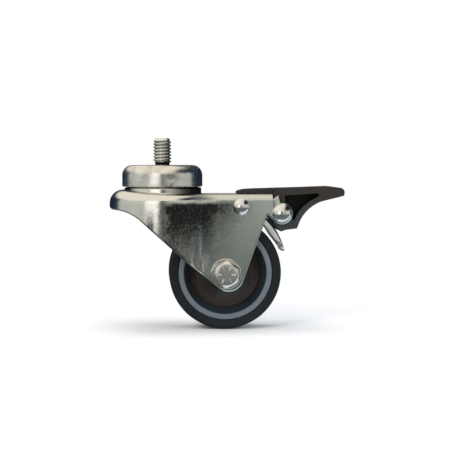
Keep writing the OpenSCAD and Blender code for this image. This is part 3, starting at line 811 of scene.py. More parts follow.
def ear_faces(outer_line, inner_line, side, verts, faces):
    """The flat ear, joined to the last column of the cheek, with its edge rounded."""
    path = ear_outline_points()
    round_r = sizes().edge_round
    count = len(path)
    inset = []
    low_edge, slope = edge_height(STRIP_END)
    chain = [Vector((STRIP_END, low_edge))] + path + [Vector((STRIP_END, outer_line[0].z))]
    for i in range(1, count + 1):
        way = (chain[i + 1] - chain[i - 1]).normalized()
        inset.append(Vector((-way.y, way.x)))
    rows = []
    for i in range(4):
        b = math.pi / 2 * i / 3
        rows.append((round_r * (1 - math.sin(b)), round_r * (1 - math.cos(b))))
    rows += [(step_in, SHEET - depth) for step_in, depth in reversed(rows)]
    rings = []
    first, last = outer_line[-4:], inner_line[-4:]
    for k, (step_in, depth) in enumerate(rows):
        y = side * (CHEEK_OUT - depth)
        begin = (first[k] if k < 4 else last[7 - k])
        ring = [Vector((begin.x, y, begin.z))]
        ring += [Vector((p.x + n.x * step_in, y, p.y + n.y * step_in)) for p, n in zip(path, inset)]
        ring[-1].x = STRIP_END
        rings.append(ring)
    base = len(verts)
    n = count + 1
    for ring in rings:
        verts.extend(ring)
    for k in range(len(rings) - 1):
        for i in range(n - 1):
            a = base + k * n + i
            faces.append((a, a + 1, a + n + 1, a + n))
    for ring, line in ((rings[0], outer_line[:-3]), (rings[-1], inner_line[:-3])):
        face = list(ring) + [p for p in line[:-1]]
        start = len(verts)
        verts.extend(face)
        faces.append(tuple(range(start, start + len(face))))
    # the small end face above the bend's end
    start = len(verts)
    verts.extend([rings[k][-1] for k in range(len(rings))] + [inner_line[0], outer_line[0]])
    faces.append(tuple(range(start, start + len(rings) + 2)))


def fork_finish():
    """Bright plating that turns to dark mottled tarnish on the drum's flanks and neck, with a painted streak of shade
    down the nose, a painted greenish reflection on the flat cheeks and painted shade on the step under the cap.
    """
    zinc, stain = colours().zinc, colours().stain
    material, tree, shader, where = new_material("fork zinc")
    shader.inputs["Metallic"].default_value = 1.0
    x, y, z = split(tree, where)
    warp = noise(tree, where, 6, 4, 0.65, 0.4)
    fine = noise(tree, where, 1.0, 5, 0.75, 0.2)
    specks = noise(tree, where, 0.55, 2, 0.6)
    shift = maths(tree, "MULTIPLY", maths(tree, "SUBTRACT", warp, 0.5), 14 * MM)
    along = maths(tree, "ADD", x, shift)
    height = maths(tree, "ADD", z, maths(tree, "MULTIPLY", shift, 0.7))
    # the stain reaches further towards the wheel just under the bent edge
    reach = maths(tree, "SUBTRACT", along, maths(tree, "MULTIPLY", maths(tree, "ADD", height, 18 * MM), 0.5))
    under = maths(tree, "SUBTRACT", 1.0, step(tree, maths(tree, "ADD", z, maths(tree, "MULTIPLY", shift, 0.12)),
                                              -17.8 * MM, -15.2 * MM))
    flank = maths(tree, "MULTIPLY", step(tree, along, -4.0 * MM, 4.0 * MM),
                  maths(tree, "SUBTRACT", 1.0, step(tree, reach, 17 * MM, 43 * MM)))
    deep = between(tree, height, -44 * MM, -19 * MM, 0.40, 1.22)
    # painted shade: a dark streak down the nose, left of the bright band
    nose = maths(tree, "MULTIPLY", step(tree, x, -8.5 * MM, -6.0 * MM),
                 maths(tree, "SUBTRACT", 1.0, step(tree, x, -5.0 * MM, -3.2 * MM)))
    nose = maths(tree, "MULTIPLY", nose, between(tree, z, -26 * MM, -18 * MM, 0.85, 0.0))
    # real tarnish on the flanks together with the painted shade on the nose
    stain_and_nose_shade = maths(tree, "MULTIPLY", under, maths(tree, "MAXIMUM", maths(tree, "MULTIPLY", flank, deep), nose))
    # grain shows most where the stain is neither thick nor absent
    thin = maths(tree, "SQRT", maths(tree, "MULTIPLY", stain_and_nose_shade, maths(tree, "SUBTRACT", 1.45, stain_and_nose_shade)))
    grain = maths(tree, "MULTIPLY", maths(tree, "SUBTRACT", fine, 0.5), maths(tree, "MULTIPLY", thin, 2.1))
    # tarnish and dirt from here on hold the painted nose shade as well as real tarnish
    tarnish = maths(tree, "ADD", stain_and_nose_shade, grain, clamp=True)
    dots = maths(tree, "MULTIPLY", step(tree, specks, 0.66, 0.76), 0.12)
    dirt = maths(tree, "ADD", maths(tree, "MULTIPLY", tarnish, 0.98), dots, clamp=True)
    # pinpoints of bare plating show through it
    bare = maths(tree, "SUBTRACT", 1.0, step(tree, specks, 0.27, 0.37))
    dirt = maths(tree, "MULTIPLY", dirt, maths(tree, "SUBTRACT", 1.0, maths(tree, "MULTIPLY", bare, 0.45)))
    # painted reflection: the flat cheeks from x 8 mm on take a greenish tint
    ground = blend_colour(tree, step(tree, x, 8 * MM, 26 * MM), tuple(zinc), (0.74, 0.785, 0.74))
    ground = blend_colour(tree, maths(tree, "MULTIPLY", warp, 0.25), ground, tinted(zinc, 0.66))
    brown = blend_colour(tree, step(tree, fine, 0.5, 0.62), tuple(stain), (0.05, 0.045, 0.046))
    plating = blend_colour(tree, dirt, ground, brown)
    # the step under the cap lies in its own shade, but for the part that faces the bright side
    radius = maths(tree, "SQRT", maths(tree, "ADD", maths(tree, "MULTIPLY", x, x), maths(tree, "MULTIPLY", y, y)))
    collar = maths(tree, "SUBTRACT", 1.0, step(tree, radius, 17.5 * MM, 17.9 * MM))
    turned_away = maths(tree, "MAXIMUM", step(tree, x, -1 * MM, 11 * MM),
                        maths(tree, "SUBTRACT", 1.0, step(tree, x, -16 * MM, -10 * MM)))
    shade = maths(tree, "MULTIPLY", collar, turned_away)
    tree.links.new(blend_colour(tree, shade, plating, tinted(zinc, 0.06)), shader.inputs["Base Color"])
    # the bent edge over the neck is worn to a soft shine
    bend = maths(tree, "MULTIPLY", step(tree, z, -15.8 * MM, -14.8 * MM), step(tree, x, 10 * MM, 16 * MM))
    bend = maths(tree, "MULTIPLY", bend, 0.28)
    shine = between(tree, maths(tree, "ADD", warp, maths(tree, "MULTIPLY", dirt, 0.5)), 0.35, 1.2, 0.15, 0.32)
    tree.links.new(maths(tree, "ADD", shine, bend), shader.inputs["Roughness"])
    waves = bump(tree, shader, warp, 0.04)
    bump(tree, shader, fine, 0.006, 1.0, waves)
    return material


class CASTOR_OT_fork(bpy.types.Operator):
    """Pressed sheet fork with its drum, boss, cheeks and ears"""
    bl_idname = "castor.fork"
    bl_label = "Fork"

    def execute(self, context):
        finish_piece(fork_mesh(), fork_finish(), "fork", "fork", sharp=38)
        return {"FINISHED"}


def dome_rivet(name, pin, node, material):
    """A rivet across both cheeks with a domed head at each end."""
    shank = {"pedal_rivet": 2.5, "shoe_rivet": 2.0}[node]
    dome_r = (high(node).x - low(node).x) / 2
    reach = high(node).y
    dome_h = reach - CHEEK_OUT
    ball = (dome_r ** 2 + dome_h ** 2) / (2 * dome_h)
    half = []
    for i in range(17):
        b = math.asin(min(dome_r / ball, 1)) * i / 16
        half.append(Vector((ball * math.sin(b), reach - ball + ball * math.cos(b))))
    half += [Vector((dome_r - 0.06, CHEEK_OUT + 0.01)), Vector((shank, CHEEK_OUT + 0.01))]
    profile = half + [Vector((r, -h)) for r, h in reversed(half)]
    obj = turned(name, profile, "Y", (pin.x, 0, pin.z), 96, closed=False)
    return finish_piece(obj, material, "fork", node)


class CASTOR_OT_rivets(bpy.types.Operator):
    """Domed rivets of the pedal and of the brake shoe"""
    bl_idname = "castor.rivets"
    bl_label = "Rivets"

    def execute(self, context):
        bright = plated("rivet steel", colours().polished, 0.13, 0.3, 0.004)
        dome_rivet("pedal_dome_rivet", PEDAL_PIN, "pedal_rivet", bright)
        dome_rivet("shoe_dome_rivet", SHOE_PIN, "shoe_rivet", bright)
        return {"FINISHED"}


HEX_TURN = math.radians(86)


def hexagon_piece(name, flats, foot, height, side, bore=0.0, collar=None):
    """A hexagon along Y with its corners turned down by a cone. side is -1 for the near side."""
    segments = 144
    lip = 0.42 * flats
    slope = (0.18 * flats) / (0.62 * flats - lip)
    profile_rows = []
    for k in range(segments):
        a = 2 * math.pi * k / segments
        local = (a - HEX_TURN) % (math.pi / 3) - math.pi / 6
        reach = flats / 2 / math.cos(local)
        top = height - max(reach - lip, 0) * slope
        rows = [(bore, 0.0), (reach - 0.15, 0.0), (reach, 0.15), (reach, lerp(0.15, top, 0.5)), (reach, top - 0.12),
                (reach - 0.1, top + 0.1 * slope), (lerp(reach, lip, 0.5), lerp(top, height, 0.5)), (lip + 0.12, height - 0.12 * slope)]
        rows += [(lip - 0.2, height), (lerp(bore, lip, 0.6), height)]
        rows += collar or []
        rows += [(bore, height if not collar else collar[-1][1])]
        profile_rows.append([Vector((AXLE.x + r * math.cos(a), side * (foot + h), AXLE.z + r * math.sin(a)))
                             for r, h in rows])
    verts = [p for rows in profile_rows for p in rows]
    n = len(profile_rows[0])
    faces = []
    for k in range(segments):
        here, there = k * n, ((k + 1) % segments) * n
        for j in range(n if bore else n - 1):
            m = (j + 1) % n
            faces.append((here + j, here + m, there + m, there + j))
    return mesh_object(name, verts, faces)


def bolt_marks(name, count, radius, height, material):
    """Plain raised radial dashes round the bolt's head."""
    tree = Tree(name, [("Count", "NodeSocketInt", max(count, 1)), ("Mark radius", "NodeSocketFloat", radius * MM)])
    circle = tree.add("GeometryNodeMeshCircle", {"Vertices": tree.value("Count"), "Radius": tree.value("Mark radius")})
    rod = tree.add("GeometryNodeMeshCylinder", {"Vertices": 16, "Radius": 0.36 * MM, "Depth": 1.9 * MM})
    bar = tree.add("GeometryNodeTransform", {"Geometry": rod.outputs["Mesh"], "Rotation": (0.0, math.pi / 2, 0.0)})
    place = tree.add("GeometryNodeInputPosition").outputs[0]
    turn = tree.add("FunctionNodeAlignRotationToVector", {"Vector": place}, {"axis": "X"})
    set_out = tree.add("GeometryNodeInstanceOnPoints", {
        "Points": circle.outputs["Mesh"], "Instance": bar.outputs[0], "Rotation": turn.outputs[0]})
    stood = tree.add("GeometryNodeTransform", {
        "Geometry": set_out.outputs[0], "Rotation": (math.pi / 2, 0.0, 0.0),
        "Translation": (AXLE.x * MM, -height * MM, AXLE.z * MM)})
    return tree.build(name, stood.outputs[0], material)


class CASTOR_OT_axle(bpy.types.Operator):
    """Axle bolt, washers, lock nut with its insert, sleeve and thrust washers"""
    bl_idname = "castor.axle"
    bl_label = "Axle"

    def execute(self, context):
        zinc = plated("bolt zinc", tinted(colours().zinc, 1.05), 0.26, 0.25, 0.006)
        flats, washer_out = 11.1, CHEEK_OUT + 1.0
        head_h = -washer_out - low("axle_bolt").y
        head = hexagon_piece("axle_bolt_head", flats, washer_out, head_h, -1)
        marks = bolt_marks("axle_bolt_marks", sizes().bolt_marks, 3.1, washer_out + head_h, zinc)
        shank_end = high("axle_bolt").y
        shank = wheel_turned("axle_bolt_shank", rounded([
            (0, -washer_out - 0.2), (3.17, -washer_out - 0.2), (3.17, shank_end, 0.5), (0, shank_end)], closed=False),
            closed=False, segments=64)
        bolt = place_joined(place_joined(head, marks), shank)
        finish_piece(bolt, zinc, "fork", "axle_bolt", sharp=28)

        nut_h = 6.0
        collar = [(4.75, (0.72 * nut_h)), (4.75, nut_h - 0.5), (4.35, nut_h), (3.6, nut_h), (3.5, nut_h - 0.4), (3.3, nut_h - 0.5)]
        nut = hexagon_piece("axle_lock_nut", flats, washer_out, 0.72 * nut_h, 1, 3.22, collar)
        finish_piece(nut, zinc, "fork", "axle_nut", sharp=28)
        lo, hi = low("nut_insert"), high("nut_insert")
        insert = wheel_turned("nut_insert_ring", rounded([
            (3.25, lo.y), (4.05, lo.y), (4.05, hi.y - 0.05), (3.25, hi.y - 0.05, 0.2)], 3), segments=64)
        finish_piece(insert, moulded("blue nylon", (0.05, 0.12, 0.34), 0.4), "fork", "nut_insert")

        rings = None
        for side in (-1, 1):
            profile = rounded([(3.25, side * CHEEK_OUT), (6.7, side * CHEEK_OUT, 0.15), (6.7, side * washer_out, 0.3),
                               (3.25, side * washer_out)], 4)
            ring = wheel_turned("axle_washer_pair", profile, segments=96)
            rings = place_joined(rings, ring) if rings else ring
        finish_piece(rings, plated("washer zinc", colours().zinc, 0.2, 0.3, 0.006), "fork", "axle_washers")

        sleeve = wheel_turned("axle_sleeve_tube", rounded([
            (3.23, -CHEEK_IN), (4.5, -CHEEK_IN, 0.2), (4.5, CHEEK_IN, 0.2), (3.23, CHEEK_IN)], 3), segments=72)
        finish_piece(sleeve, plated("sleeve steel", (0.5, 0.49, 0.47), 0.3, 0.4), "fork", "axle_sleeve")
        discs = None
        for side in (-1, 1):
            profile = rounded([(4.56, side * 10.6), (7.05, side * 10.6, 0.1), (7.05, side * 11.48, 0.2), (4.56, side * 11.48)], 3)
            disc = wheel_turned("thrust_washer_pair", profile, segments=72)
            discs = place_joined(discs, disc) if discs else disc
        finish_piece(discs, moulded("natural nylon", (0.62, 0.6, 0.54), 0.4), "fork", "thrust_washers")
        return {"FINISHED"}


class CASTOR_OT_wheel(bpy.types.Operator):
    """Rubber tyre, pale rim rings and dished core"""
    bl_idname = "castor.wheel"
    bl_label = "Wheel"

    def execute(self, context):
        c = colours()
        tyre_half = high("tyre").y
        seat, ring_out = 20.05, 9.3
        half = rounded([
            (seat, 0), (seat, 7.75), (20.72, 7.75), (20.72, tyre_half - 0.35, 0.3), (21.2, tyre_half, 0.3),
            (22.2, tyre_half, 0.4), (WHEEL_R - 0.03, tyre_half, 3.0), (WHEEL_R, tyre_half - 3.2), (WHEEL_R, 0)],
            9, closed=False)
        tyre = wheel_turned("rubber_tyre", mirrored_profile(half), segments=220)
        finish_piece(tyre, rubber_finish(c.rubber), "wheel", "tyre")
        even_shading(tyre)

        rings = None
        for side in (-1, 1):
            profile = rounded([(18.2, side * 7.85), (18.2, side * ring_out, 0.55), (20.65, side * ring_out, 0.55),
                               (20.65, side * 7.85)], 5)
            ring = wheel_turned("pale_rim_rings", profile, segments=220)
            rings = place_joined(rings, ring) if rings else ring
        finish_piece(rings, moulded("ring grey", c.ring, 0.38, 0.006, 0.3, 0.08), "wheel", "rim_rings")
        even_shading(rings)

        half = rounded([
            (4.58, 0), (4.58, 10.5, 0.2), (7.45, 10.5, 0.4), (7.9, 5.2, 0.9), (9.6, 4.4, 1.5), (12.5, 3.2, 3.5),
            (15.3, 4.4, 1.6), (18.2, 7.82, 0.1), (20.0, 7.82), (20.0, 0)], 8, closed=False)
        core = wheel_turned("dished_wheel_core", mirrored_profile(half), segments=200)
        finish_piece(core, core_finish(c.core), "wheel", "wheel_core", sharp=50)
        even_shading(core)
        return {"FINISHED"}


def core_finish(colour):
    """Dark brown plastic whose outer wall, next to the pale ring, carries a painted dark teal reflection."""
    material = moulded("core plastic", colour, 0.36, 0.008, 0.4, 0.2)
    tree = material.node_tree
    shader = tree.nodes["Principled BSDF"]
    where = [n for n in tree.nodes if n.type == "TEX_COORD"][0].outputs["Object"]
    before = shader.inputs["Base Color"].links[0].from_socket
    x, y, z = split(tree, mapped(tree, where, (1, 1, 1), AXLE))
    out = maths(tree, "SQRT", maths(tree, "ADD", maths(tree, "MULTIPLY", x, x), maths(tree, "MULTIPLY", z, z)))
    # painted reflection: the outer wall next to the pale ring is tinted dark teal
    tree.links.new(blend_colour(tree, step(tree, out, 15.6 * MM, 17 * MM), before, (0.012, 0.024, 0.033)),
                   shader.inputs["Base Color"])
    return material


def rubber_finish(colour):
    material, tree, shader, where = new_material("tyre rubber")
    clouds = noise(tree, where, 7, 3, 0.6)
    grain = noise(tree, where, 0.3, 3, 0.6)
    dust = maths(tree, "MULTIPLY", step(tree, clouds, 0.45, 0.75), 0.35)
    tree.links.new(blend_colour(tree, dust, tuple(colour), (0.014, 0.0155, 0.018)), shader.inputs["Base Color"])
    tree.links.new(between(tree, maths(tree, "ADD", clouds, grain), 0.6, 1.4, 0.42, 0.62), shader.inputs["Roughness"])
    shader.inputs["Specular IOR Level"].default_value = 0.34
    bump(tree, shader, grain, 0.02)
    return material


class CASTOR_OT_pedal(bpy.types.Operator):
    """Moulded toggle pedal with a pocket on each side"""
    bl_idname = "castor.pedal"
    bl_label = "Brake pedal"

    def execute(self, context):
        obj = pedal_mesh()
        finish_piece(obj, pedal_finish(), "pedal", "brake_pedal", sharp=45)
        even_shading(obj)
        return {"FINISHED"}


def pedal_finish():
    """Dark plastic with painted shade, near black, along its middle below the top where the pockets are deepest, and
    painted cool light on its lower part.
    """
    material = moulded("pedal plastic", colours().pedal, 0.4, 0.01, 0.35, 0.2)
    tree = material.node_tree
    shader = tree.nodes["Principled BSDF"]
    shader.inputs["Specular IOR Level"].default_value = 0.35
    where = [n for n in tree.nodes if n.type == "TEX_COORD"][0].outputs["Object"]
    before = shader.inputs["Base Color"].links[0].from_socket
    x, y, z = split(tree, where)
    # painted shade: away from the open sides and the top, the pedal goes near black
    outside = step(tree, maths(tree, "ABSOLUTE", y), 4 * MM, 10 * MM)
    top = step(tree, z, -11.2 * MM, -10.4 * MM)
    open_to_light = maths(tree, "MAXIMUM", outside, top)
    # painted light: below z -22 mm the pedal turns a lighter cool grey
    cool = blend_colour(tree, step(tree, z, -22 * MM, -13 * MM), (0.032, 0.038, 0.041), before)
    tree.links.new(blend_colour(tree, open_to_light, (0.0012, 0.0008, 0.0006), cool), shader.inputs["Base Color"])
    return material


PEDAL_TOP, PEDAL_HALF, TAIL_HALF = -10.6, 10.8, 8.8
PEDAL_TIP = 80.7
TAIL_X = 33.0


def prism(name, outline, lo, hi):
    """A straight prism along Y of an outline in X and Z."""
    n = len(outline)
    verts = [(p[0], lo, p[1]) for p in outline] + [(p[0], hi, p[1]) for p in outline]
    faces = [tuple(range(n)), tuple(range(2 * n - 1, n - 1, -1))]
    faces += [(i, (i + 1) % n, n + (i + 1) % n, n + i) for i in range(n)]
    obj = mesh_object(name, verts, faces)
    shape = bmesh.new()
    shape.from_mesh(obj.data)
    bmesh.ops.recalc_face_normals(shape, faces=shape.faces)
    shape.to_mesh(obj.data)
    shape.free()
    return obj


def upright_prism(name, outline, lo, hi):
    obj = prism(name, outline, lo, hi)
    for v in obj.data.vertices:
        v.co = Vector((v.co.x, v.co.z, v.co.y))
    shape = bmesh.new()
    shape.from_mesh(obj.data)
    bmesh.ops.recalc_face_normals(shape, faces=shape.faces)
    shape.to_mesh(obj.data)
    shape.free()
    return obj


def combine(obj, other, operation):
    """Applies an exact boolean with another object and removes that object."""
    modifier = obj.modifiers.new("cut", "BOOLEAN")
    modifier.operation = operation
    modifier.solver = "EXACT"
    modifier.object = other
    bake(obj)
    bpy.data.objects.remove(other)
    return obj


def bake(obj):
    """Replaces an object's mesh by its modified form."""
    bpy.context.view_layer.update()
    graph = bpy.context.evaluated_depsgraph_get()
    mesh = bpy.data.meshes.new_from_object(obj.evaluated_get(graph))
    obj.modifiers.clear()
    old = obj.data
    obj.data = mesh
    bpy.data.meshes.remove(old)


def arc(centre, radius, start, end, steps):
    return [centre + radius * Vector((math.cos(math.radians(lerp(start, end, i / steps))),
                                      math.sin(math.radians(lerp(start, end, i / steps))))) for i in range(steps + 1)]


def pedal_outline(pin):
    under, under_r, end_r = pin + Vector((23.5, -10.7)), 17.0, 1.9
    heel, cam_low, cam_high = pin + Vector((6.9, -6.6)), pin + Vector((-0.7, -7.7)), pin + Vector((-5.8, -0.8))
    top = PEDAL_TOP
    heel_top = heel + Vector((0.4, 1.2))
    end_angle = math.degrees(math.atan2(heel_top.y - under.y, heel_top.x - under.x)) % 360
    points = [(TAIL_X, PLATE_Z + 0.3), (TAIL_X + 0.6, top - 1, 0.5), (TAIL_X + 3, top - 0.3, 2), (TAIL_X + 7, top, 4),
              (pin.x + 8, top + 0.5, 30), (PEDAL_TIP - 6.2, top + 1.0, 8), (PEDAL_TIP - 1.6, top + 0.5, 3),
              (PEDAL_TIP, top - 1.0, end_r), (PEDAL_TIP - 0.4, top - 2.9, 1.5)]
    out = [Vector(p) for p in rounded(points, 6, closed=False)]
    out += arc(under, under_r, 108, end_angle, 26)[1:]
    out += [Vector(heel), heel + Vector((-4.9, -0.6)), cam_low + Vector((0.6, -0.2)), Vector(cam_low), Vector(cam_high),
            Vector((SLOT_START + 1.2, PLATE_Z - 2.4)), Vector((SLOT_START + 1.2, PLATE_Z + 0.3))]
    return out


def pocket_outline(pin):
    under, reach = pin + Vector((23.5, -10.7)), 19.4
    lower = arc(under, reach, 111.5, 158, 14)
    upper_right = Vector((lower[0].x + 0.2, pin.y + 8.85))
    ring = arc(pin, EAR_R + 0.45, -22, 74, 8)
    return rounded([(pin.x + 1.6, pin.y + 7.95, 0.5), (upper_right.x, upper_right.y, 0.4)], 3, closed=False) + lower + ring


def pedal_mesh():
    pin = Vector((PEDAL_PIN.x, PEDAL_PIN.z))
    outline = pedal_outline(pin)
    wide = prism("toggle_pedal", outline, -PEDAL_HALF, PEDAL_HALF)
    corner = 4.0
    plan = rounded([(TAIL_X - 3, -TAIL_HALF), (STRIP_END + 0.5, -TAIL_HALF), (STRIP_END + 0.5, -PEDAL_HALF, 0.6),
                    (PEDAL_TIP + 0.02, -PEDAL_HALF, corner), (PEDAL_TIP + 0.02, PEDAL_HALF, corner),
                    (STRIP_END + 0.5, PEDAL_HALF, 0.6), (STRIP_END + 0.5, TAIL_HALF), (TAIL_X - 3, TAIL_HALF)], 6)
    combine(wide, upright_prism("plan", plan, -45, 0), "INTERSECT")
    for side in (-1, 1):
        lo, hi = sorted((side * 1.5, side * (PEDAL_HALF + 1)))
        combine(wide, prism("pocket", pocket_outline(pin), lo, hi), "DIFFERENCE")
    modifier = wide.modifiers.new("round", "BEVEL")
    modifier.width = sizes().pedal_round * MM
    modifier.segments = 3
    modifier.limit_method = "ANGLE"
    modifier.angle_limit = math.radians(38)
    modifier.harden_normals = False
    bake(wide)
    return wide


class CASTOR_OT_shoe(bpy.types.Operator):
    """Spring steel brake shoe with its rolled eye"""
    bl_idname = "castor.shoe"
    bl_label = "Brake shoe"

    def execute(self, context):
        bright = plated("shoe steel", colours().polished, 0.1, 0.25, 0.01)
        obj = shoe_mesh()
        finish_piece(obj, bright, "shoe", "brake_shoe", sharp=50)
        return {"FINISHED"}


SHOE_C = Vector((20.625, -46.247))
SHOE_R, SHOE_T, SHOE_HALF = 34.2, 1.0, 10.5
SHOE_LEAN, SHOE_TIP = math.radians(64.09), math.radians(14.1)
SHOE_EYE = 3.08


def trough(half, fall):
    """Outline across the strip. Its edges turn towards the wheel, fully so where fall is 1."""
    turn, deep, wall = 1.8, 2.9, 0.9
    top, bottom = [], []
    for i in range(6):
        b = math.pi / 2 * i / 5
        top.append((half - turn + turn * math.sin(b), SHOE_T / 2 - turn * (1 - math.cos(b)) * fall))
        inner = turn - wall * fall
        bottom.append((half - turn + inner * math.sin(b), -SHOE_T / 2 - inner * (1 - math.cos(b)) * fall))
    top.append((half, SHOE_T / 2 - deep * fall))
    bottom.append((half - wall * fall, SHOE_T / 2 - deep * fall - SHOE_T * (1 - fall)))
    right = top + bottom[::-1]
    return right + [(-y, o) for y, o in reversed(right)]


def shoe_mesh():
    """The strip as one swept section with turned edges, from its tip up and round its eye."""
    pin = Vector((SHOE_PIN.x, SHOE_PIN.z))
    centre_r = SHOE_R - SHOE_T / 2
    stations = []
    steps = 44
    for i in range(steps + 1):
        share = i / steps
        a = lerp(SHOE_TIP, SHOE_LEAN - 0.02, share)
        way = Vector((math.cos(a), math.sin(a)))
        narrow = 3.0 * (1 - math.sqrt(1 - (1 - min(share / 0.14, 1)) ** 2))
        fall = ease(share / 0.3) * (1 - ease((share - 0.66) / 0.24))
        stations.append((SHOE_C + way * centre_r, way, SHOE_HALF - narrow, fall))
    eye_mid = SHOE_EYE - SHOE_T / 2
    for i in range(1, 41):
        a = SHOE_LEAN + 2 * math.pi * 0.93 * i / 40
        way = Vector((math.cos(a), math.sin(a)))
        stations.append((pin + way * eye_mid, way, SHOE_HALF, 0.0))
    verts, faces = [], []
    for at, way, half, fall in stations:
        section = trough(half, fall)
        verts += [(at.x + way.x * o, y, at.y + way.y * o) for y, o in section]
    n = len(section)
    for k in range(len(stations) - 1):
        for j in range(n):
            m = (j + 1) % n
            faces.append((k * n + j, k * n + m, (k + 1) * n + m, (k + 1) * n + j))
    faces.append(tuple(range(n)))
    faces.append(tuple(range((len(stations) - 1) * n, len(stations) * n)))
    return mesh_object("spring_brake_shoe", verts, faces)


# ---- the stage


class CASTOR_OT_stage(bpy.types.Operator):
    """Pale floor, studio reflections, lamps and camera"""
    bl_idname = "castor.stage"
    bl_label = "Stage"

    def execute(self, context):
        make_floor()
        make_studio()
        make_world()
        make_lamps()
        make_camera()
        context.scene.view_settings.view_transform = "Standard"
        return {"FINISHED"}


def seen_directly(tree):
    """1 for camera, mirror and glass rays."""
    light = tree.nodes.new("ShaderNodeLightPath")
    rays = [light.outputs[name] for name in ("Is Camera Ray", "Is Glossy Ray", "Is Transmission Ray")]
    return maths(tree, "MAXIMUM", maths(tree, "MAXIMUM", rays[0], rays[1]), rays[2])


def make_floor():
    """A pale floor that keeps the shadow near the castor and runs into the white background."""
    level = CAD_BOX[0].z
    size = 3.0
    mesh = bpy.data.meshes.new("floor")
    mesh.from_pydata([(-size, -size, level), (size, -size, level), (size, size, level), (-size, size, level)], [],
                     [(0, 1, 2, 3)])
    floor = bpy.data.objects.new("floor", mesh)
    bpy.context.scene.collection.objects.link(floor)
    material, tree, shader, where = new_material("pale floor")
    shader.inputs["Roughness"].default_value = 0.7
    shader.inputs["Specular IOR Level"].default_value = 0.1
    grain = noise(tree, where, 14, 3, 0.5)
    tree.links.new(blend_colour(tree, grain, (0.9, 0.905, 0.915), (0.93, 0.93, 0.935)), shader.inputs["Base Color"])
    x, y, z = split(tree, mapped(tree, where, (1, 1, 1), (AXLE.x, 0, 0)))
    away = maths(tree, "SQRT", maths(tree, "ADD", maths(tree, "MULTIPLY", x, x), maths(tree, "MULTIPLY", y, y)))
    white = tree.nodes.new("ShaderNodeEmission")
    white.inputs["Color"].default_value = (1, 1, 1, 1)
    fade = maths(tree, "MULTIPLY", step(tree, away, 0.03, 0.14), seen_directly(tree))
    mix = tree.nodes.new("ShaderNodeMixShader")
    tree.links.new(fade, mix.inputs["Fac"])
    tree.links.new(shader.outputs[0], mix.inputs[1])
    tree.links.new(white.outputs[0], mix.inputs[2])
    # mirrors see a cool bright band beside the castor, with its own shade beneath it
    aside = maths(tree, "ABSOLUTE", y)
    beside = maths(tree, "MULTIPLY", step(tree, aside, 0.006, 0.018),
                   maths(tree, "SUBTRACT", 1.0, step(tree, aside, 0.028, 0.055)))
    beside = maths(tree, "MULTIPLY", beside, step(tree, x, -0.009, -0.004))
    cool = tree.nodes.new("ShaderNodeEmission")
    tree.links.new(blend_colour(tree, beside, (0.15, 0.16, 0.155), (0.78, 0.90, 0.97)), cool.inputs["Color"])
    both = tree.nodes.new("ShaderNodeMixShader")
    tree.links.new(tree.nodes.new("ShaderNodeLightPath").outputs["Is Glossy Ray"], both.inputs["Fac"])
    tree.links.new(mix.outputs[0], both.inputs[1])
    tree.links.new(cool.outputs[0], both.inputs[2])
    tree.links.new(both.outputs[0], tree.nodes["Material Output"].inputs["Surface"])
    mesh.materials.append(material)


# What bright metal sees round the castor: direction in degrees from the camera's side
# towards the pedal, with the colour there
STUDIO = [(-180, (0.02, 0.03, 0.06)), (-150, (0.008, 0.018, 0.04)), (-116, (0.01, 0.024, 0.05)),
          (-104, (0.56, 0.60, 0.57)), (-56, (0.66, 0.68, 0.62)), (-41, (0.62, 0.60, 0.54)), (-34, (1.38, 1.33, 1.27)),
          (-11, (1.38, 1.34, 1.29)), (-5, (0.14, 0.115, 0.10)), (1, (0.06, 0.05, 0.045)), (6, (0.32, 0.335, 0.31)),
          (12, (0.48, 0.50, 0.465)), (22, (0.56, 0.57, 0.52)), (50, (0.62, 0.62, 0.57)), (84, (0.56, 0.57, 0.54)),
          (94, (0.01, 0.024, 0.05)), (150, (0.006, 0.014, 0.034)), (180, (0.02, 0.03, 0.06))]


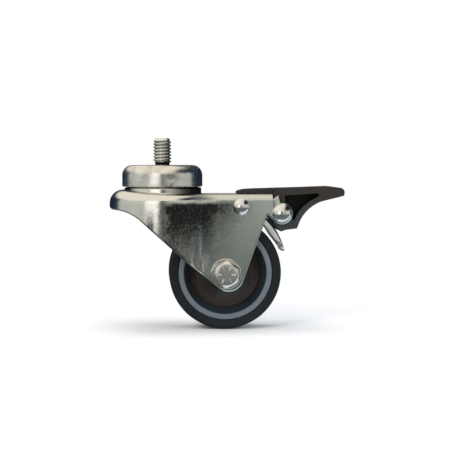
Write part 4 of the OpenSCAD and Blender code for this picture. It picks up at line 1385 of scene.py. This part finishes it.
def make_studio():
    """A round screen that only mirror rays see, with the bright and dark areas of a small studio."""
    radius, low_z, high_z = 600, -420, 560
    segments = 96
    verts, faces = [], []
    for k in range(segments):
        a = 2 * math.pi * k / segments
        x, y = radius * math.cos(a), radius * math.sin(a)
        verts += [(x, y, low_z), (x, y, high_z), (0.12 * x, 0.12 * y, high_z + 120)]
    for k in range(segments):
        n = (k + 1) % segments
        faces += [(3 * k, 3 * n, 3 * n + 1, 3 * k + 1), (3 * k + 1, 3 * n + 1, 3 * n + 2, 3 * k + 2)]
    faces.append(tuple(3 * k + 2 for k in range(segments)))
    screen = mesh_object("studio_screen", verts, faces)
    for flag in ("visible_camera", "visible_diffuse", "visible_transmission", "visible_volume_scatter", "visible_shadow"):
        setattr(screen, flag, False)
    material, tree, shader, where = new_material("studio screen")
    x, y, z = split(tree, where)
    turn = maths(tree, "ARCTAN2", x, maths(tree, "MULTIPLY", y, -1.0))
    share = between(tree, turn, -math.pi, math.pi, 0.0, 1.0)
    ramp = tree.nodes.new("ShaderNodeValToRGB")
    ramp.color_ramp.interpolation = "EASE"
    stops = ramp.color_ramp.elements
    while len(stops) < len(STUDIO):
        stops.new(0.5)
    for stop, (angle, colour) in zip(stops, STUDIO):
        stop.position = (angle + 180) / 360
        stop.color = (*colour, 1)
    tree.links.new(share, ramp.inputs["Fac"])
    roof = step(tree, z, 0.16, 0.30)
    right = step(tree, x, 0.25, 0.5)
    behind = step(tree, maths(tree, "ADD", y, maths(tree, "MULTIPLY", x, 0.8)), 0.42, 0.75)
    roof_colour = blend_colour(tree, maths(tree, "MAXIMUM", right, behind), (0.98, 0.90, 0.78), (0.012, 0.022, 0.05))
    ceiling = blend_colour(tree, roof, ramp.outputs["Color"], roof_colour)
    ground = step(tree, z, -0.16, -0.06)
    whole = blend_colour(tree, ground, (0.72, 0.8, 0.9), ceiling)
    glow = tree.nodes.new("ShaderNodeEmission")
    tree.links.new(whole, glow.inputs["Color"])
    tree.links.new(glow.outputs[0], tree.nodes["Material Output"].inputs["Surface"])
    tree.nodes.remove(shader)
    screen.data.materials.append(material)


def make_world():
    world = bpy.data.worlds.new("studio")
    bpy.context.scene.world = world
    world.use_nodes = True
    tree = world.node_tree
    soft = tree.nodes["Background"]
    soft.inputs["Color"].default_value = (0.93, 0.96, 1.0, 1)
    soft.inputs["Strength"].default_value = 0.7
    white = tree.nodes.new("ShaderNodeBackground")
    white.inputs["Color"].default_value = (1, 1, 1, 1)
    white.inputs["Strength"].default_value = 1.0
    mix = tree.nodes.new("ShaderNodeMixShader")
    tree.links.new(seen_directly(tree), mix.inputs["Fac"])
    tree.links.new(soft.outputs[0], mix.inputs[1])
    tree.links.new(white.outputs[0], mix.inputs[2])
    tree.links.new(mix.outputs[0], tree.nodes["World Output"].inputs["Surface"])


def make_lamps():
    """Plain soft lamps: a warm one from the left, a cool one from the right and one above."""
    aim = Vector((0.03, 0, -0.035))
    for name, place, size, power, colour in (
            ("key lamp", (-0.45, -0.62, 0.45), 0.35, 3.6, (1.0, 0.96, 0.90)),
            ("fill lamp", (0.75, -0.45, 0.30), 0.5, 2.4, (0.90, 0.96, 1.0)),
            ("top lamp", (0.05, 0.1, 0.8), 0.6, 2.8, (1.0, 1.0, 1.0))):
        lamp = bpy.data.lights.new(name, "AREA")
        lamp.size = size
        lamp.energy = power
        lamp.color = colour
        obj = bpy.data.objects.new(name, lamp)
        obj.location = place
        obj.rotation_euler = (aim - Vector(place)).to_track_quat("-Z", "Y").to_euler()
        obj.visible_glossy = False
        bpy.context.scene.collection.objects.link(obj)


def make_camera():
    """The photograph's view, for a square picture."""
    data = bpy.data.cameras.new("photo camera")
    data.sensor_width = 36.0
    data.lens = 98.31
    data.clip_start = 0.01
    data.clip_end = 20.0
    camera = bpy.data.objects.new("photo camera", data)
    camera.location = (-0.00694, -0.55, 0.0023)
    yaw, pitch = 0.0641, 0.0536
    ahead = Vector((math.sin(yaw) * math.cos(pitch), math.cos(yaw) * math.cos(pitch), -math.sin(pitch)))
    camera.rotation_euler = ahead.to_track_quat("-Z", "Y").to_euler()
    bpy.context.scene.collection.objects.link(camera)
    bpy.context.scene.camera = camera


# ---- panel and registration


STEPS = (CASTOR_OT_stage, CASTOR_OT_head, CASTOR_OT_balls, CASTOR_OT_fork, CASTOR_OT_rivets, CASTOR_OT_axle,
         CASTOR_OT_wheel, CASTOR_OT_pedal, CASTOR_OT_shoe)


class CASTOR_PT_panel(bpy.types.Panel):
    """Sizes, colours and pieces of the castor"""
    bl_idname = "CASTOR_PT_panel"
    bl_label = "Castor"
    bl_space_type = "VIEW_3D"
    bl_region_type = "UI"
    bl_category = "Castor"

    def draw(self, context):
        for group in (context.scene.castor_sizes, context.scene.castor_colours):
            for name in group.__annotations__:
                self.layout.prop(group, name)
        for operator in STEPS:
            self.layout.operator(operator.bl_idname)


CLASSES = (CastorSizes, CastorColours, *STEPS, CASTOR_PT_panel)


def register():
    for cls in CLASSES:
        bpy.utils.register_class(cls)
    bpy.types.Scene.castor_sizes = bpy.props.PointerProperty(type=CastorSizes)
    bpy.types.Scene.castor_colours = bpy.props.PointerProperty(type=CastorColours)


def unregister():
    del bpy.types.Scene.castor_colours
    del bpy.types.Scene.castor_sizes
    for cls in reversed(CLASSES):
        bpy.utils.unregister_class(cls)


def main():
    register()
    for operator in STEPS:
        group, name = operator.bl_idname.split(".")
        getattr(getattr(bpy.ops, group), name)()


if __name__ == "__main__":
    main()
